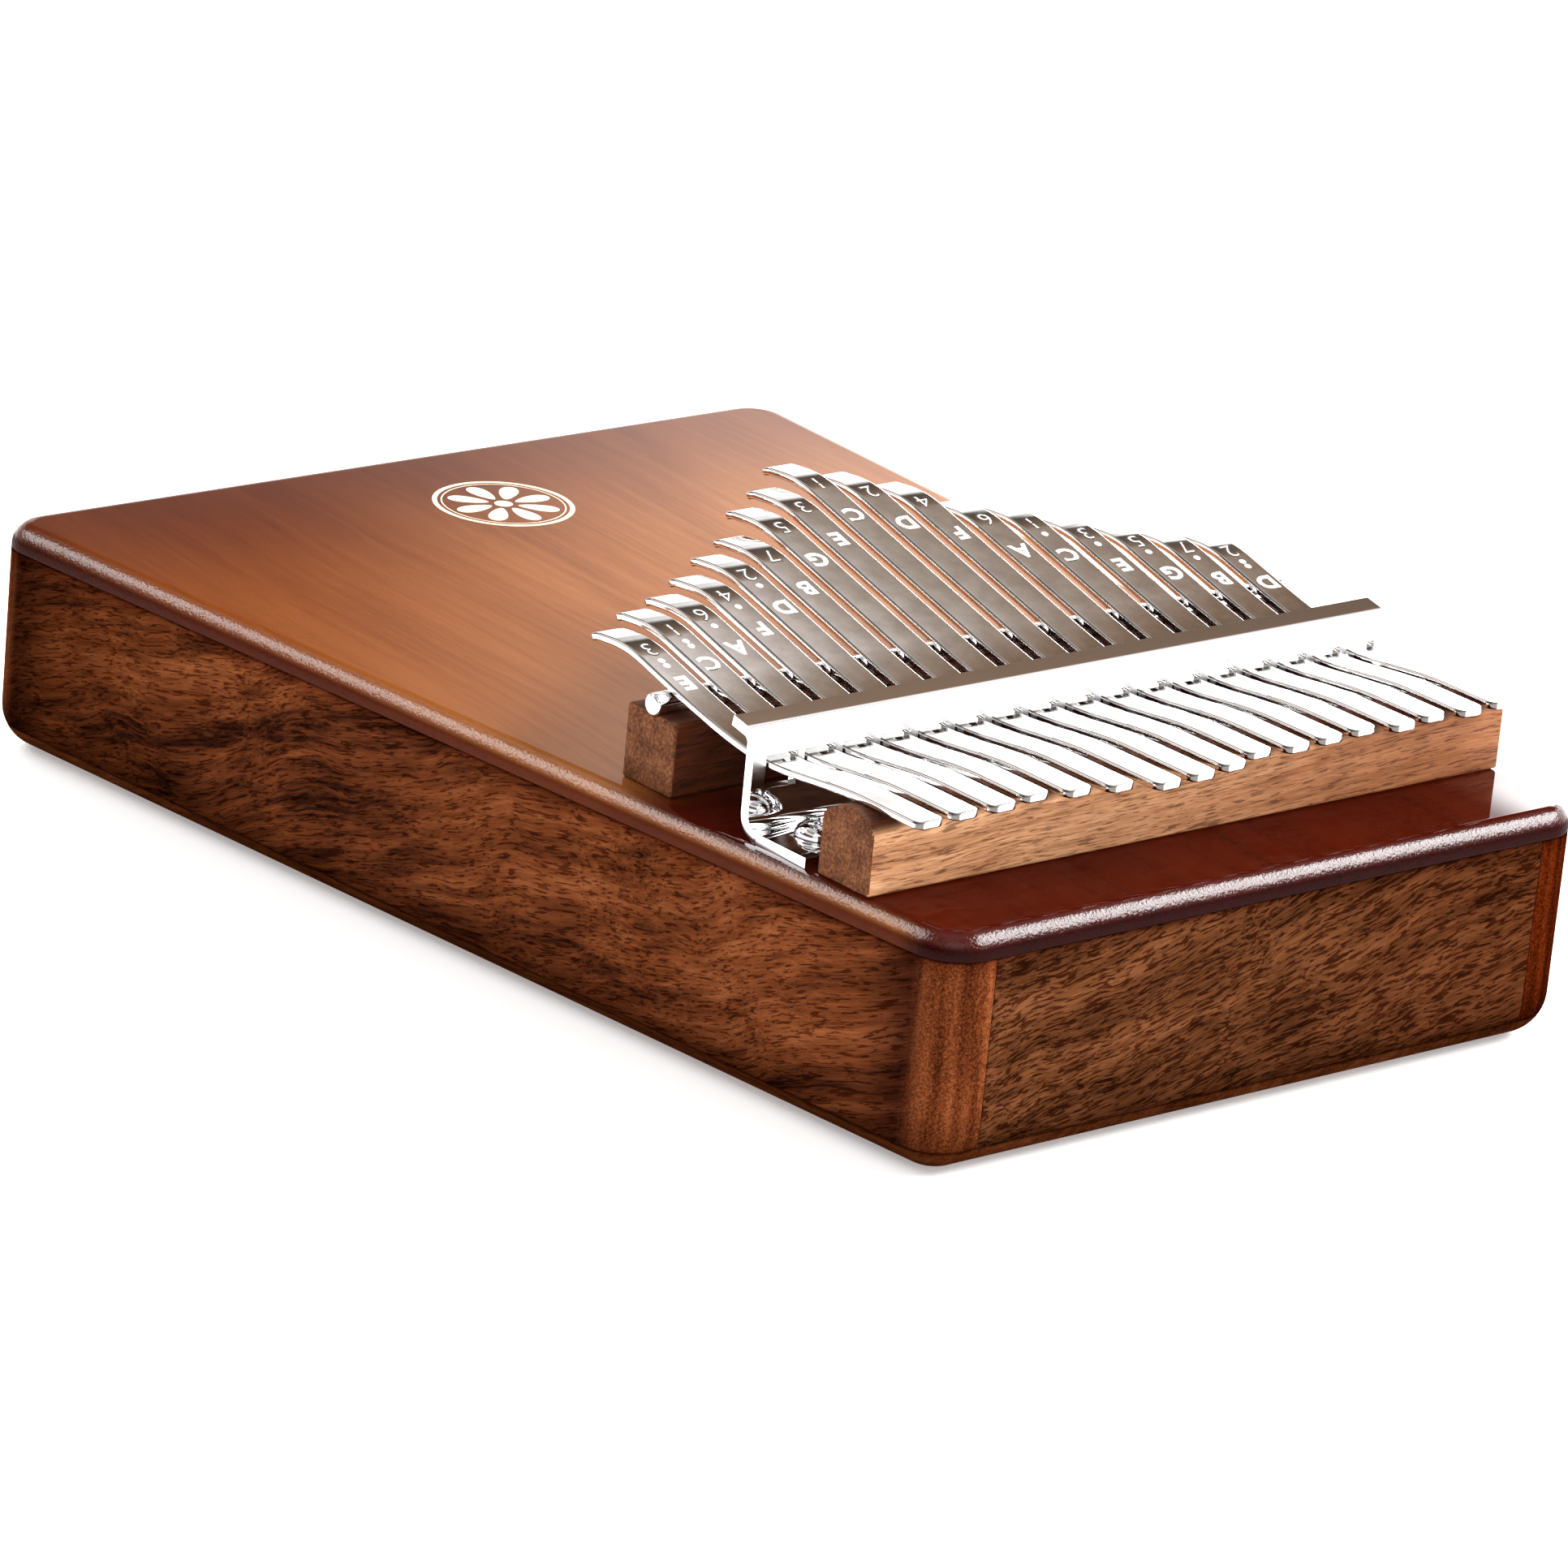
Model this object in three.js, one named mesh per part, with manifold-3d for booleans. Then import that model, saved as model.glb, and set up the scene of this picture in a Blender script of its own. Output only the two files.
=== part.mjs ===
// A 17-key lamellophone (mbira / kalimba): a hollow tapered wooden box with
// spring-steel tines held between two bridge bars by a slotted bracket.
// Millimetres, +Z up. The origin is the bottom centre of the box, +X runs from
// the first tine to the seventeenth, and +Y runs along the tines to their tips.
import * as THREE from "three";
import { mergeVertices } from "three/addons/utils/BufferGeometryUtils.js";
import Module from "manifold-3d";

// ---- driving dimensions ----------------------------------------------------
const BODY_LENGTH = 185;
const BRIDGE_END_WIDTH = 109;
const FREE_END_WIDTH = 136.5;
const BODY_HEIGHT = 32;
const CORNER_RADIUS = 6.4;
const TOP_EDGE_RADIUS = 3;
const BOTTOM_EDGE_RADIUS = 6.2;
const SOUNDBOARD_THICKNESS = 3.4;
const BACK_THICKNESS = 3.4;
const SIDE_WALL_THICKNESS = 7.8;
const END_PANEL_THICKNESS = 8;
const GLUE_GAP = 0.2;
const TONE_HOLE_RADIUS = 5;
const TONE_HOLE_X = 26;
const TONE_HOLE_Y = 30;

const BRACE_WIDTH = 22;
const BRACE_DEPTH = 14;
const BRACE_END_GAP = 0.3;

const BAR_LENGTH = 108;
const BAR_WIDTH = 9.8;
const NEAR_BAR_Y = -71.1;
const NEAR_BAR_HEIGHT = 10.2;
const NEAR_BAR_SHOULDER = 8.2;
const FAR_BAR_Y = -32.5;
const FAR_BAR_HEIGHT = 10;
const FAR_BAR_CHAMFER = 0.9;

const ROD_RADIUS = 1.5;
const ROD_LENGTH = 108.6;
const ROD_SINK = 0.4;
const GROOVE_CLEARANCE = 0.05;

const BRACKET_LENGTH = 108.6;
const SHEET_THICKNESS = 1.4;
const WALL_Y = -52.2;
const LIP_TIP = [-48.4, 46.3];
const LIP_BEND = [WALL_Y, 45.5];
const FLANGE_END_Y = -64.3;
const LIP_BEND_RADIUS = 1.6;
const FLANGE_BEND_RADIUS = 2.6;
const SLOT_WIDTH = 5.1;
const SLOT_BOTTOM = 38.3;
const SLOT_TOP = 42.7;

const SCREW_SPACING = 47.6;
const SCREW_Y = -58.6;
const SCREW_HEAD_RADIUS = 3;
const SCREW_HEAD_HEIGHT = 2;
const SCREW_SHANK_RADIUS = 1.4;
const SCREW_LENGTH = 14;
const SCREW_CLEARANCE = 0.3;
const SCREW_SEAT_GAP = 0.05;

const TINE_PITCH = 6.2;
const TINE_WIDTH = 4.6;
const TINE_THICKNESS = 1;
const TONGUE_SLOPE = THREE.MathUtils.degToRad(15.4);
const TINE_AT_WALL = 41.5;
const TAIL_GAP = 0.45;
const ROD_GAP = 0.1;
const TIP_BEND_RADIUS = 19;
const TIP_BEND_ANGLE = THREE.MathUtils.degToRad(20);
const TIP_STRAIGHT = 4;
// How far the curve's level or sloping run reaches from each of its fixed points.
const CREST_REACH = 7;
const SLOT_REACH = 5;
const ROD_REACH = 6;
// Free length of each tongue past the rod, and reach of each tail past the
// crest of the near bar, from the first tine to the seventeenth.
const TONGUE_LENGTHS = [17, 20, 22, 25, 28.5, 31.5, 37, 40.5, 45, 41.5, 37.5, 31.5, 29, 25, 21.5, 18.5, 16];
const TAIL_LENGTHS = [10.5, 10, 10, 9, 10, 11, 13, 12.5, 11.5, 9.5, 10, 9.5, 9, 10, 9, 9.5, 9];

// How finely curves are divided, and how far cutting shapes overrun.
const HOLE_SIDES = 24;
const SCREW_HOLE_SIDES = 16;
const SCREW_SIDES = 20;
const ROD_SIDES = 24;
const CORNER_STEPS = 6;
const EDGE_STEPS = 5;
const BAR_CURVE_STEPS = 8;
const BEND_STEPS = 6;
const TINE_CURVE_STEPS = 8;
const DOME_STEPS = 6;
const OVERCUT = 1;
const BEYOND_BOX = BODY_LENGTH;
const MERGE_DISTANCE = 1e-4;

// ---- materials -------------------------------------------------------------
const lacqueredWood = new THREE.MeshStandardMaterial({ color: 0x7a4526, roughness: 0.25, metalness: 0 });
const sideWood = new THREE.MeshStandardMaterial({ color: 0x5f3016, roughness: 0.3, metalness: 0 });
const endWood = new THREE.MeshStandardMaterial({ color: 0x8b5e2c, roughness: 0.3, metalness: 0 });
const rawWood = new THREE.MeshStandardMaterial({ color: 0xb07b52, roughness: 0.65, metalness: 0 });
const chrome = new THREE.MeshStandardMaterial({ color: 0xd8d8dc, roughness: 0.08, metalness: 1 });
const springSteel = new THREE.MeshStandardMaterial({ color: 0xc4c4c8, roughness: 0.15, metalness: 1 });

// ---- boolean helpers -------------------------------------------------------
const wasm = await Module();
wasm.setup();

function toSolid(geometry) {
  const bare = geometry.clone();
  bare.deleteAttribute("normal");
  bare.deleteAttribute("uv");
  const merged = mergeVertices(bare, MERGE_DISTANCE);
  return new wasm.Manifold(new wasm.Mesh({
    numProp: 3,
    vertProperties: new Float32Array(merged.attributes.position.array),
    triVerts: new Uint32Array(merged.index.array),
  }));
}

function toGeometry(solid) {
  const mesh = solid.getMesh();
  const geometry = new THREE.BufferGeometry();
  geometry.setAttribute("position", new THREE.BufferAttribute(mesh.vertProperties, 3));
  geometry.setIndex(new THREE.BufferAttribute(mesh.triVerts, 1));
  return geometry;
}

// A prism with a flat outline in X and Y, from one height to another.
function prism(points, bottom, top) {
  const shape = new THREE.Shape(points.map(([x, y]) => new THREE.Vector2(x, y)));
  const geometry = new THREE.ExtrudeGeometry(shape, { depth: top - bottom, bevelEnabled: false });
  return geometry.translate(0, 0, bottom);
}

// A prism along X with its outline in Y and Z, centred on x.
function extrudeAlongX(shape, length, x = 0) {
  const geometry = new THREE.ExtrudeGeometry(shape, {
    depth: length, bevelEnabled: false, curveSegments: BAR_CURVE_STEPS,
  });
  const turn = new THREE.Matrix4().set(
    0, 0, 1, x - length / 2,
    1, 0, 0, 0,
    0, 1, 0, 0,
    0, 0, 0, 1,
  );
  return geometry.applyMatrix4(turn);
}

function uprightCylinder(radius, x, y, bottom, top, sides) {
  const geometry = new THREE.CylinderGeometry(radius, radius, top - bottom, sides);
  return geometry.rotateX(Math.PI / 2).translate(x, y, (top + bottom) / 2);
}

// ---- box -------------------------------------------------------------------
function halfWidthAt(y) {
  const along = (y + BODY_LENGTH / 2) / BODY_LENGTH;
  return THREE.MathUtils.lerp(BRIDGE_END_WIDTH, FREE_END_WIDTH, along) / 2;
}

// The tapered outline with a circular arc at each corner.
function bodyOutline() {
  const end = BODY_LENGTH / 2;
  const corners = [
    [halfWidthAt(-end), -end], [halfWidthAt(end), end],
    [-halfWidthAt(end), end], [-halfWidthAt(-end), -end],
  ].map(([x, y]) => new THREE.Vector2(x, y));
  const shape = new THREE.Shape();
  corners.forEach((corner, i) => {
    const before = corners[(i + 3) % 4].clone().sub(corner).normalize();
    const after = corners[(i + 1) % 4].clone().sub(corner).normalize();
    const halfAngle = Math.acos(before.dot(after)) / 2;
    const centre = before.clone().add(after).normalize()
      .multiplyScalar(CORNER_RADIUS / Math.sin(halfAngle)).add(corner);
    const touch = CORNER_RADIUS / Math.tan(halfAngle);
    const from = corner.clone().addScaledVector(before, touch).sub(centre);
    const to = corner.clone().addScaledVector(after, touch).sub(centre);
    shape.absarc(centre.x, centre.y, CORNER_RADIUS, from.angle(), to.angle(), false);
  });
  return shape;
}

function roundedBox(edgeRadius, height) {
  const geometry = new THREE.ExtrudeGeometry(bodyOutline(), {
    depth: height - 2 * edgeRadius,
    bevelEnabled: true,
    bevelThickness: edgeRadius,
    bevelSize: edgeRadius,
    bevelOffset: -edgeRadius,
    bevelSegments: EDGE_STEPS,
    curveSegments: CORNER_STEPS,
  });
  return toSolid(geometry.translate(0, 0, edgeRadius));
}

const soundboardBottom = BODY_HEIGHT - SOUNDBOARD_THICKNESS;
const topRounded = roundedBox(TOP_EDGE_RADIUS, BODY_HEIGHT);
const bottomRounded = roundedBox(BOTTOM_EDGE_RADIUS, BODY_HEIGHT + 2 * BOTTOM_EDGE_RADIUS);

function slab(bottom, top) {
  const reach = BEYOND_BOX;
  const corners = [[-reach, -reach], [reach, -reach], [reach, reach], [-reach, reach]];
  return toSolid(prism(corners, bottom, top));
}

function screwPlaces() {
  return [-SCREW_SPACING, 0, SCREW_SPACING];
}

function drillForScrews(solid, bottom, top) {
  const radius = SCREW_SHANK_RADIUS + SCREW_CLEARANCE;
  return screwPlaces().reduce(
    (piece, x) => piece.subtract(toSolid(uprightCylinder(radius, x, SCREW_Y, bottom, top, SCREW_HOLE_SIDES))),
    solid,
  );
}

function soundboard() {
  const plate = topRounded.intersect(slab(soundboardBottom, BODY_HEIGHT + OVERCUT));
  return toGeometry(drillForScrews(plate, soundboardBottom - OVERCUT, BODY_HEIGHT + OVERCUT));
}

function backPlate() {
  const plate = bottomRounded.intersect(slab(-OVERCUT, BACK_THICKNESS));
  const drilled = [-TONE_HOLE_X, TONE_HOLE_X].reduce(
    (piece, x) => piece.subtract(
      toSolid(uprightCylinder(TONE_HOLE_RADIUS, x, TONE_HOLE_Y, -OVERCUT, BACK_THICKNESS + OVERCUT, HOLE_SIDES)),
    ),
    plate,
  );
  return toGeometry(drilled);
}

function sideWall(side) {
  const inner = (y) => side * (halfWidthAt(y) - SIDE_WALL_THICKNESS);
  const reach = BEYOND_BOX;
  const corners = [
    [inner(-reach), -reach], [side * reach, -reach], [side * reach, reach], [inner(reach), reach],
  ];
  const strip = toSolid(prism(side > 0 ? corners : corners.reverse(), BACK_THICKNESS, soundboardBottom));
  return toGeometry(bottomRounded.intersect(strip));
}

// A block that spans the cavity between two places along Y, with a gap to the side walls.
function crossBlock(fromY, toY, gap, bottom, top) {
  const inner = (y) => halfWidthAt(y) - SIDE_WALL_THICKNESS - gap;
  return toSolid(prism(
    [[-inner(fromY), fromY], [inner(fromY), fromY], [inner(toY), toY], [-inner(toY), toY]],
    bottom, top,
  ));
}

function endPanel(side) {
  const inside = side * (BODY_LENGTH / 2 - END_PANEL_THICKNESS);
  const outside = side * BEYOND_BOX;
  const block = crossBlock(
    Math.min(inside, outside), Math.max(inside, outside), GLUE_GAP, BACK_THICKNESS, soundboardBottom,
  );
  return toGeometry(bottomRounded.intersect(block));
}

function bridgeBrace() {
  const bottom = soundboardBottom - BRACE_DEPTH;
  const block = crossBlock(
    SCREW_Y - BRACE_WIDTH / 2, SCREW_Y + BRACE_WIDTH / 2, BRACE_END_GAP, bottom, soundboardBottom,
  );
  return toGeometry(drillForScrews(block, bottom - OVERCUT, soundboardBottom + OVERCUT));
}

// ---- bridge ----------------------------------------------------------------
function nearBridgeBar() {
  const half = BAR_WIDTH / 2;
  const rise = NEAR_BAR_HEIGHT - NEAR_BAR_SHOULDER;
  const radius = (half * half + rise * rise) / (2 * rise);
  const sweep = Math.asin(half / radius);
  const shape = new THREE.Shape();
  shape.moveTo(NEAR_BAR_Y - half, BODY_HEIGHT);
  shape.lineTo(NEAR_BAR_Y + half, BODY_HEIGHT);
  shape.absarc(
    NEAR_BAR_Y, BODY_HEIGHT + NEAR_BAR_HEIGHT - radius, radius,
    Math.PI / 2 - sweep, Math.PI / 2 + sweep, false,
  );
  shape.closePath();
  return extrudeAlongX(shape, BAR_LENGTH);
}

const rodZ = BODY_HEIGHT + FAR_BAR_HEIGHT + ROD_RADIUS - ROD_SINK;

function farBridgeBar() {
  const half = BAR_WIDTH / 2;
  const top = BODY_HEIGHT + FAR_BAR_HEIGHT;
  const grooveRadius = ROD_RADIUS + GROOVE_CLEARANCE;
  const sweep = Math.acos((rodZ - top) / grooveRadius);
  const shape = new THREE.Shape();
  shape.moveTo(FAR_BAR_Y - half, BODY_HEIGHT);
  shape.lineTo(FAR_BAR_Y + half, BODY_HEIGHT);
  shape.lineTo(FAR_BAR_Y + half, top - FAR_BAR_CHAMFER);
  shape.lineTo(FAR_BAR_Y + half - FAR_BAR_CHAMFER, top);
  shape.absarc(FAR_BAR_Y, rodZ, grooveRadius, -Math.PI / 2 + sweep, -Math.PI / 2 - sweep, true);
  shape.lineTo(FAR_BAR_Y - half + FAR_BAR_CHAMFER, top);
  shape.lineTo(FAR_BAR_Y - half, top - FAR_BAR_CHAMFER);
  shape.closePath();
  return extrudeAlongX(shape, BAR_LENGTH);
}

function saddleRod() {
  const geometry = new THREE.CylinderGeometry(ROD_RADIUS, ROD_RADIUS, ROD_LENGTH, ROD_SIDES);
  return geometry.rotateZ(Math.PI / 2).translate(0, FAR_BAR_Y, rodZ);
}

// ---- strips bent from flat stock --------------------------------------------
// Offsets a path in Y and Z to both sides by half the thickness and closes it.
function stripShape(path, thickness) {
  const sides = [1, -1].map((side) => path.map((point, i) => {
    const before = path[Math.max(i - 1, 0)];
    const after = path[Math.min(i + 1, path.length - 1)];
    const along = after.clone().sub(before).normalize();
    return new THREE.Vector2(-along.y, along.x).multiplyScalar(side * thickness / 2).add(point);
  }));
  return new THREE.Shape([...sides[1], ...sides[0].reverse()]);
}

// Points along a round bend between two straight runs that meet at a corner.
function bend(before, corner, after, radius, steps) {
  const back = before.clone().sub(corner).normalize();
  const forward = after.clone().sub(corner).normalize();
  const halfAngle = Math.acos(back.dot(forward)) / 2;
  const reach = radius / Math.tan(halfAngle);
  const centre = back.clone().add(forward).normalize().multiplyScalar(radius / Math.sin(halfAngle)).add(corner);
  const from = corner.clone().addScaledVector(back, reach).sub(centre);
  const to = corner.clone().addScaledVector(forward, reach).sub(centre);
  const turn = Math.atan2(from.cross(to), from.dot(to));
  return Array.from({ length: steps + 1 }, (_, i) => (
    from.clone().rotateAround(new THREE.Vector2(), turn * i / steps).add(centre)
  ));
}

function bracketPath() {
  const base = BODY_HEIGHT + SHEET_THICKNESS / 2;
  const lipTip = new THREE.Vector2(...LIP_TIP);
  const lipBend = new THREE.Vector2(...LIP_BEND);
  const foot = new THREE.Vector2(WALL_Y, base);
  const flangeEnd = new THREE.Vector2(FLANGE_END_Y, base);
  return [
    lipTip,
    ...bend(lipTip, lipBend, foot, LIP_BEND_RADIUS, BEND_STEPS),
    ...bend(lipBend, foot, flangeEnd, FLANGE_BEND_RADIUS, BEND_STEPS),
    flangeEnd,
  ];
}

function tinePlaces() {
  return TONGUE_LENGTHS.map((_, i) => (i - (TONGUE_LENGTHS.length - 1) / 2) * TINE_PITCH);
}

function tineBracket() {
  const sheet = toSolid(extrudeAlongX(stripShape(bracketPath(), SHEET_THICKNESS), BRACKET_LENGTH));
  const slotted = tinePlaces().reduce((piece, x) => {
    const cutter = new THREE.BoxGeometry(SLOT_WIDTH, 4 * SHEET_THICKNESS, SLOT_TOP - SLOT_BOTTOM);
    cutter.translate(x, WALL_Y, (SLOT_TOP + SLOT_BOTTOM) / 2);
    return piece.subtract(toSolid(cutter));
  }, sheet);
  return toGeometry(drillForScrews(slotted, BODY_HEIGHT - OVERCUT, BODY_HEIGHT + SHEET_THICKNESS + OVERCUT));
}

// A domed screw: head above the flange, shank down into the brace.
function bracketScrew() {
  const head = new THREE.EllipseCurve(0, 0, SCREW_HEAD_RADIUS, SCREW_HEAD_HEIGHT, 0, Math.PI / 2);
  const profile = [
    new THREE.Vector2(0, -SCREW_LENGTH),
    new THREE.Vector2(SCREW_SHANK_RADIUS, -SCREW_LENGTH + SCREW_SHANK_RADIUS),
    new THREE.Vector2(SCREW_SHANK_RADIUS, 0),
    ...head.getPoints(DOME_STEPS).slice(0, -1),
    new THREE.Vector2(0, SCREW_HEAD_HEIGHT),
  ];
  return new THREE.LatheGeometry(profile, SCREW_SIDES).rotateX(Math.PI / 2);
}

// ---- tines -----------------------------------------------------------------
// The middle line of a tine: tail, hump over the near bar, dip under the
// bracket, climb over the rod, straight tongue, and a tip bent level.
function tinePath(tongue, tail) {
  const half = TINE_THICKNESS / 2;
  const rodReach = ROD_RADIUS + ROD_GAP + half;
  const slope = new THREE.Vector2(Math.cos(TONGUE_SLOPE), Math.sin(TONGUE_SLOPE));
  const onRod = new THREE.Vector2(-slope.y, slope.x).multiplyScalar(rodReach)
    .add(new THREE.Vector2(FAR_BAR_Y, rodZ));
  const onBar = new THREE.Vector2(NEAR_BAR_Y, BODY_HEIGHT + NEAR_BAR_HEIGHT + TAIL_GAP + half);
  const inSlot = new THREE.Vector2(WALL_Y, TINE_AT_WALL);
  const tailEnd = new THREE.Vector2(NEAR_BAR_Y - tail, onBar.y);
  const level = new THREE.Vector2(1, 0);
  const dip = new THREE.CubicBezierCurve(
    onBar, onBar.clone().addScaledVector(level, CREST_REACH),
    inSlot.clone().addScaledVector(level, -CREST_REACH), inSlot,
  );
  const climb = new THREE.CubicBezierCurve(
    inSlot, inSlot.clone().addScaledVector(level, SLOT_REACH),
    onRod.clone().addScaledVector(slope, -ROD_REACH), onRod,
  );
  const bendLength = TIP_BEND_RADIUS * TIP_BEND_ANGLE;
  const straight = tongue - bendLength - TIP_STRAIGHT;
  const bendStart = onRod.clone().addScaledVector(slope, straight);
  const bendPoints = Array.from({ length: BEND_STEPS }, (_, i) => {
    const angle = TIP_BEND_ANGLE * (i + 1) / BEND_STEPS;
    const chord = 2 * TIP_BEND_RADIUS * Math.sin(angle / 2);
    const heading = TONGUE_SLOPE - angle / 2;
    return new THREE.Vector2(Math.cos(heading), Math.sin(heading)).multiplyScalar(chord).add(bendStart);
  });
  const tipHeading = TONGUE_SLOPE - TIP_BEND_ANGLE;
  const tip = new THREE.Vector2(Math.cos(tipHeading), Math.sin(tipHeading))
    .multiplyScalar(TIP_STRAIGHT).add(bendPoints.at(-1));
  return [
    tailEnd, ...dip.getPoints(TINE_CURVE_STEPS), ...climb.getPoints(TINE_CURVE_STEPS).slice(1),
    bendStart, ...bendPoints, tip,
  ];
}

function tine(index) {
  const path = tinePath(TONGUE_LENGTHS[index], TAIL_LENGTHS[index]);
  return extrudeAlongX(stripShape(path, TINE_THICKNESS), TINE_WIDTH);
}

// ---- assembly --------------------------------------------------------------
const instrument = new THREE.Group();

function add(name, geometry, material, x = 0, y = 0, z = 0) {
  const mesh = new THREE.Mesh(geometry, material);
  mesh.name = name;
  mesh.position.set(x, y, z);
  instrument.add(mesh);
}

add("soundboard", soundboard(), lacqueredWood);
add("back_plate", backPlate(), sideWood);
add("left_side_wall", sideWall(-1), sideWood);
add("right_side_wall", sideWall(1), sideWood);
add("near_end_panel", endPanel(-1), endWood);
add("far_end_panel", endPanel(1), endWood);
add("bridge_brace", bridgeBrace(), rawWood);
add("near_bridge_bar", nearBridgeBar(), rawWood);
add("far_bridge_bar", farBridgeBar(), rawWood);
add("saddle_rod", saddleRod(), chrome);
add("tine_bracket", tineBracket(), chrome);
["left", "centre", "right"].forEach((side, i) => {
  const headZ = BODY_HEIGHT + SHEET_THICKNESS + SCREW_SEAT_GAP;
  add(`bracket_screw_${side}`, bracketScrew(), chrome, screwPlaces()[i], SCREW_Y, headZ);
});
tinePlaces().forEach((x, i) => {
  add(`tine_${String(i + 1).padStart(2, "0")}`, tine(i), springSteel, x);
});

export default instrument;
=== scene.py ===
"""A 17-key box kalimba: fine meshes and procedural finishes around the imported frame.

Shapes are worked out in millimetres, +Z up, with X across the tines and Y along them.
"""
import math

import bmesh
import bpy
from mathutils import Matrix, Vector


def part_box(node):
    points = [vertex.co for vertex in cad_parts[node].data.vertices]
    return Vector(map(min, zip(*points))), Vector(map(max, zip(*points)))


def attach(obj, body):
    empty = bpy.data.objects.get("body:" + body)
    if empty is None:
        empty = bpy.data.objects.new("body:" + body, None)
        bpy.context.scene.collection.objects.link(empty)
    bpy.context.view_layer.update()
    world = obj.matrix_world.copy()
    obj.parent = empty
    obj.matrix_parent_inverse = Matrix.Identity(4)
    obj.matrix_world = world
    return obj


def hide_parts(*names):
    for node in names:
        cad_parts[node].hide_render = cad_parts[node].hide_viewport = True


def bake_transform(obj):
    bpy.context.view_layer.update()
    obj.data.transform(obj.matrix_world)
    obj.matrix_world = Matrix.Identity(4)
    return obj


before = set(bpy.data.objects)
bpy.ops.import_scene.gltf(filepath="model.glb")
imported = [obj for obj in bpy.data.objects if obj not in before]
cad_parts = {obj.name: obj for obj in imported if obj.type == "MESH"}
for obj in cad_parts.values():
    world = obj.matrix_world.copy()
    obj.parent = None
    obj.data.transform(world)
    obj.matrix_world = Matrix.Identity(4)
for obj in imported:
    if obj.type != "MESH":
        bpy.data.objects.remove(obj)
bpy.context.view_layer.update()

# ---- driving sizes, in millimetres ----
MM = 0.001
BOX = "box"
BODY_LENGTH = 185
BRIDGE_END_WIDTH = 109
FREE_END_WIDTH = 136.5
CORNER_RADIUS = 6.4
TOP_EDGE_RADIUS = 3
BOTTOM_EDGE_RADIUS = 6.2
SIDE_WALL_THICKNESS = 7.8
END_PANEL_THICKNESS = 8
PANEL_SEAM = 0.06
SEAM_BEVEL = 0.16
TONE_HOLE_RADIUS = 5
TONE_HOLES = [(-26, 30), (26, 30)]
SCREW_HOLE_RADIUS = 1.7

BAR_SHOULDER_DROP = 2
BAR_EDGE_ROUND = 0.45
GROOVE_RADIUS = 1.55
SHEET_THICKNESS = 1.4
LIP_TIP = (-48.4, 46.3)
WALL_Y = -52.2
LIP_BEND_Z = 45.5
FLANGE_END_Y = -64.3
LIP_BEND_RADIUS = 1.6
FLANGE_BEND_RADIUS = 2.6
SLOT_WIDTH = 5.1
SLOT_BOTTOM = 38.3
SLOT_TOP = 42.7
SCREW_HEAD_RADIUS = 3
SCREW_HEAD_HEIGHT = 2
SCREW_HEAD_RIM = 0.15
SCREW_SHANK_RADIUS = 1.4
SCREW_POINT_RADIUS = 0.4
# The cross recess: its floor's depth, half length and half width, then the same at the
# opening, which stands clear above the head.
RECESS_FLOOR = (-1.1, 0.5, 0.2)
RECESS_OPENING = (0.3, 1.75, 0.33)
RECESS_TURNS = (20, 110)
ROD_END_ROUND = 0.5
OVERCUT = 1

TINE_WIDTH = 4.6
TINE_THICKNESS = 1
TINE_EDGE_ROUND = 0.3
TONGUE_SLOPE = math.radians(15.4)
TINE_AT_WALL = 41.5
TAIL_LIFT = 0.05
ROD_GAP = 0.1
TIP_BEND_RADIUS = 19
TIP_BEND_ANGLE = math.radians(20)
TIP_STRAIGHT = 2
TIP_DROP_RADIUS = 3.5
TIP_DROP_ANGLE = math.radians(32)
TIP_CORNER_RADIUS = 0.8
TAIL_CORNER_RADIUS = 1.5
# How far the curve's level or sloping run reaches from each of its fixed points.
CREST_REACH = 7
SLOT_REACH = 5
ROD_REACH = 6
TONGUE_LENGTHS = [17, 20, 22, 25, 28.5, 31.5, 37, 40.5, 45, 41.5, 37.5, 31.5, 29, 25, 21.5, 18.5, 16]
TAIL_LENGTHS = [10.5, 10, 10, 9, 10, 11, 13, 12.5, 11.5, 9.5, 10, 9.5, 9, 10, 9, 9.5, 9]
# Tabulature of each tine: scale degree, octave dots and note letter.
NOTES = [
    ("3", 2, "E"), ("1", 2, "C"), ("6", 1, "A"), ("4", 1, "F"), ("2", 1, "D"), ("7", 0, "B"),
    ("5", 0, "G"), ("3", 0, "E"), ("1", 0, "C"), ("2", 0, "D"), ("4", 0, "F"), ("6", 0, "A"),
    ("1", 1, "C"), ("3", 1, "E"), ("5", 1, "G"), ("7", 1, "B"), ("2", 2, "D"),
]
LABEL_HEIGHT = 2.8
NUMBER_FROM_TIP = 9.2
FIRST_DOT_FROM_TIP = 11.9
DOT_SPACING = 1.15
LETTER_FROM_TIP = 17.1
# Each mark is a stroke on a wider painted shadow, a dark sheet for the shade in the engraving: how much
# wider or narrower than the plain glyph, and how far each stands above the tine.
STROKE_GROW = -0.02
STROKE_HEIGHT = 0.045
SHADOW_GROW = 0.12
SHADOW_HEIGHT = 0.02
DOT_STROKE = (0.36, 0.13)
DOT_SHADOW = (0.5, 0.1)
CAPITAL_HEIGHT = 0.7
ROSETTE_CENTRE = (1, 68)
ROSETTE_RADIUS = 10
PRINT_THICKNESS = 0.02
PETALS = 8
PETAL_STEPS = 28


def box_mm(node):
    """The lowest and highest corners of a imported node, in millimetres."""
    low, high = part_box(node)
    return low / MM, high / MM


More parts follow.
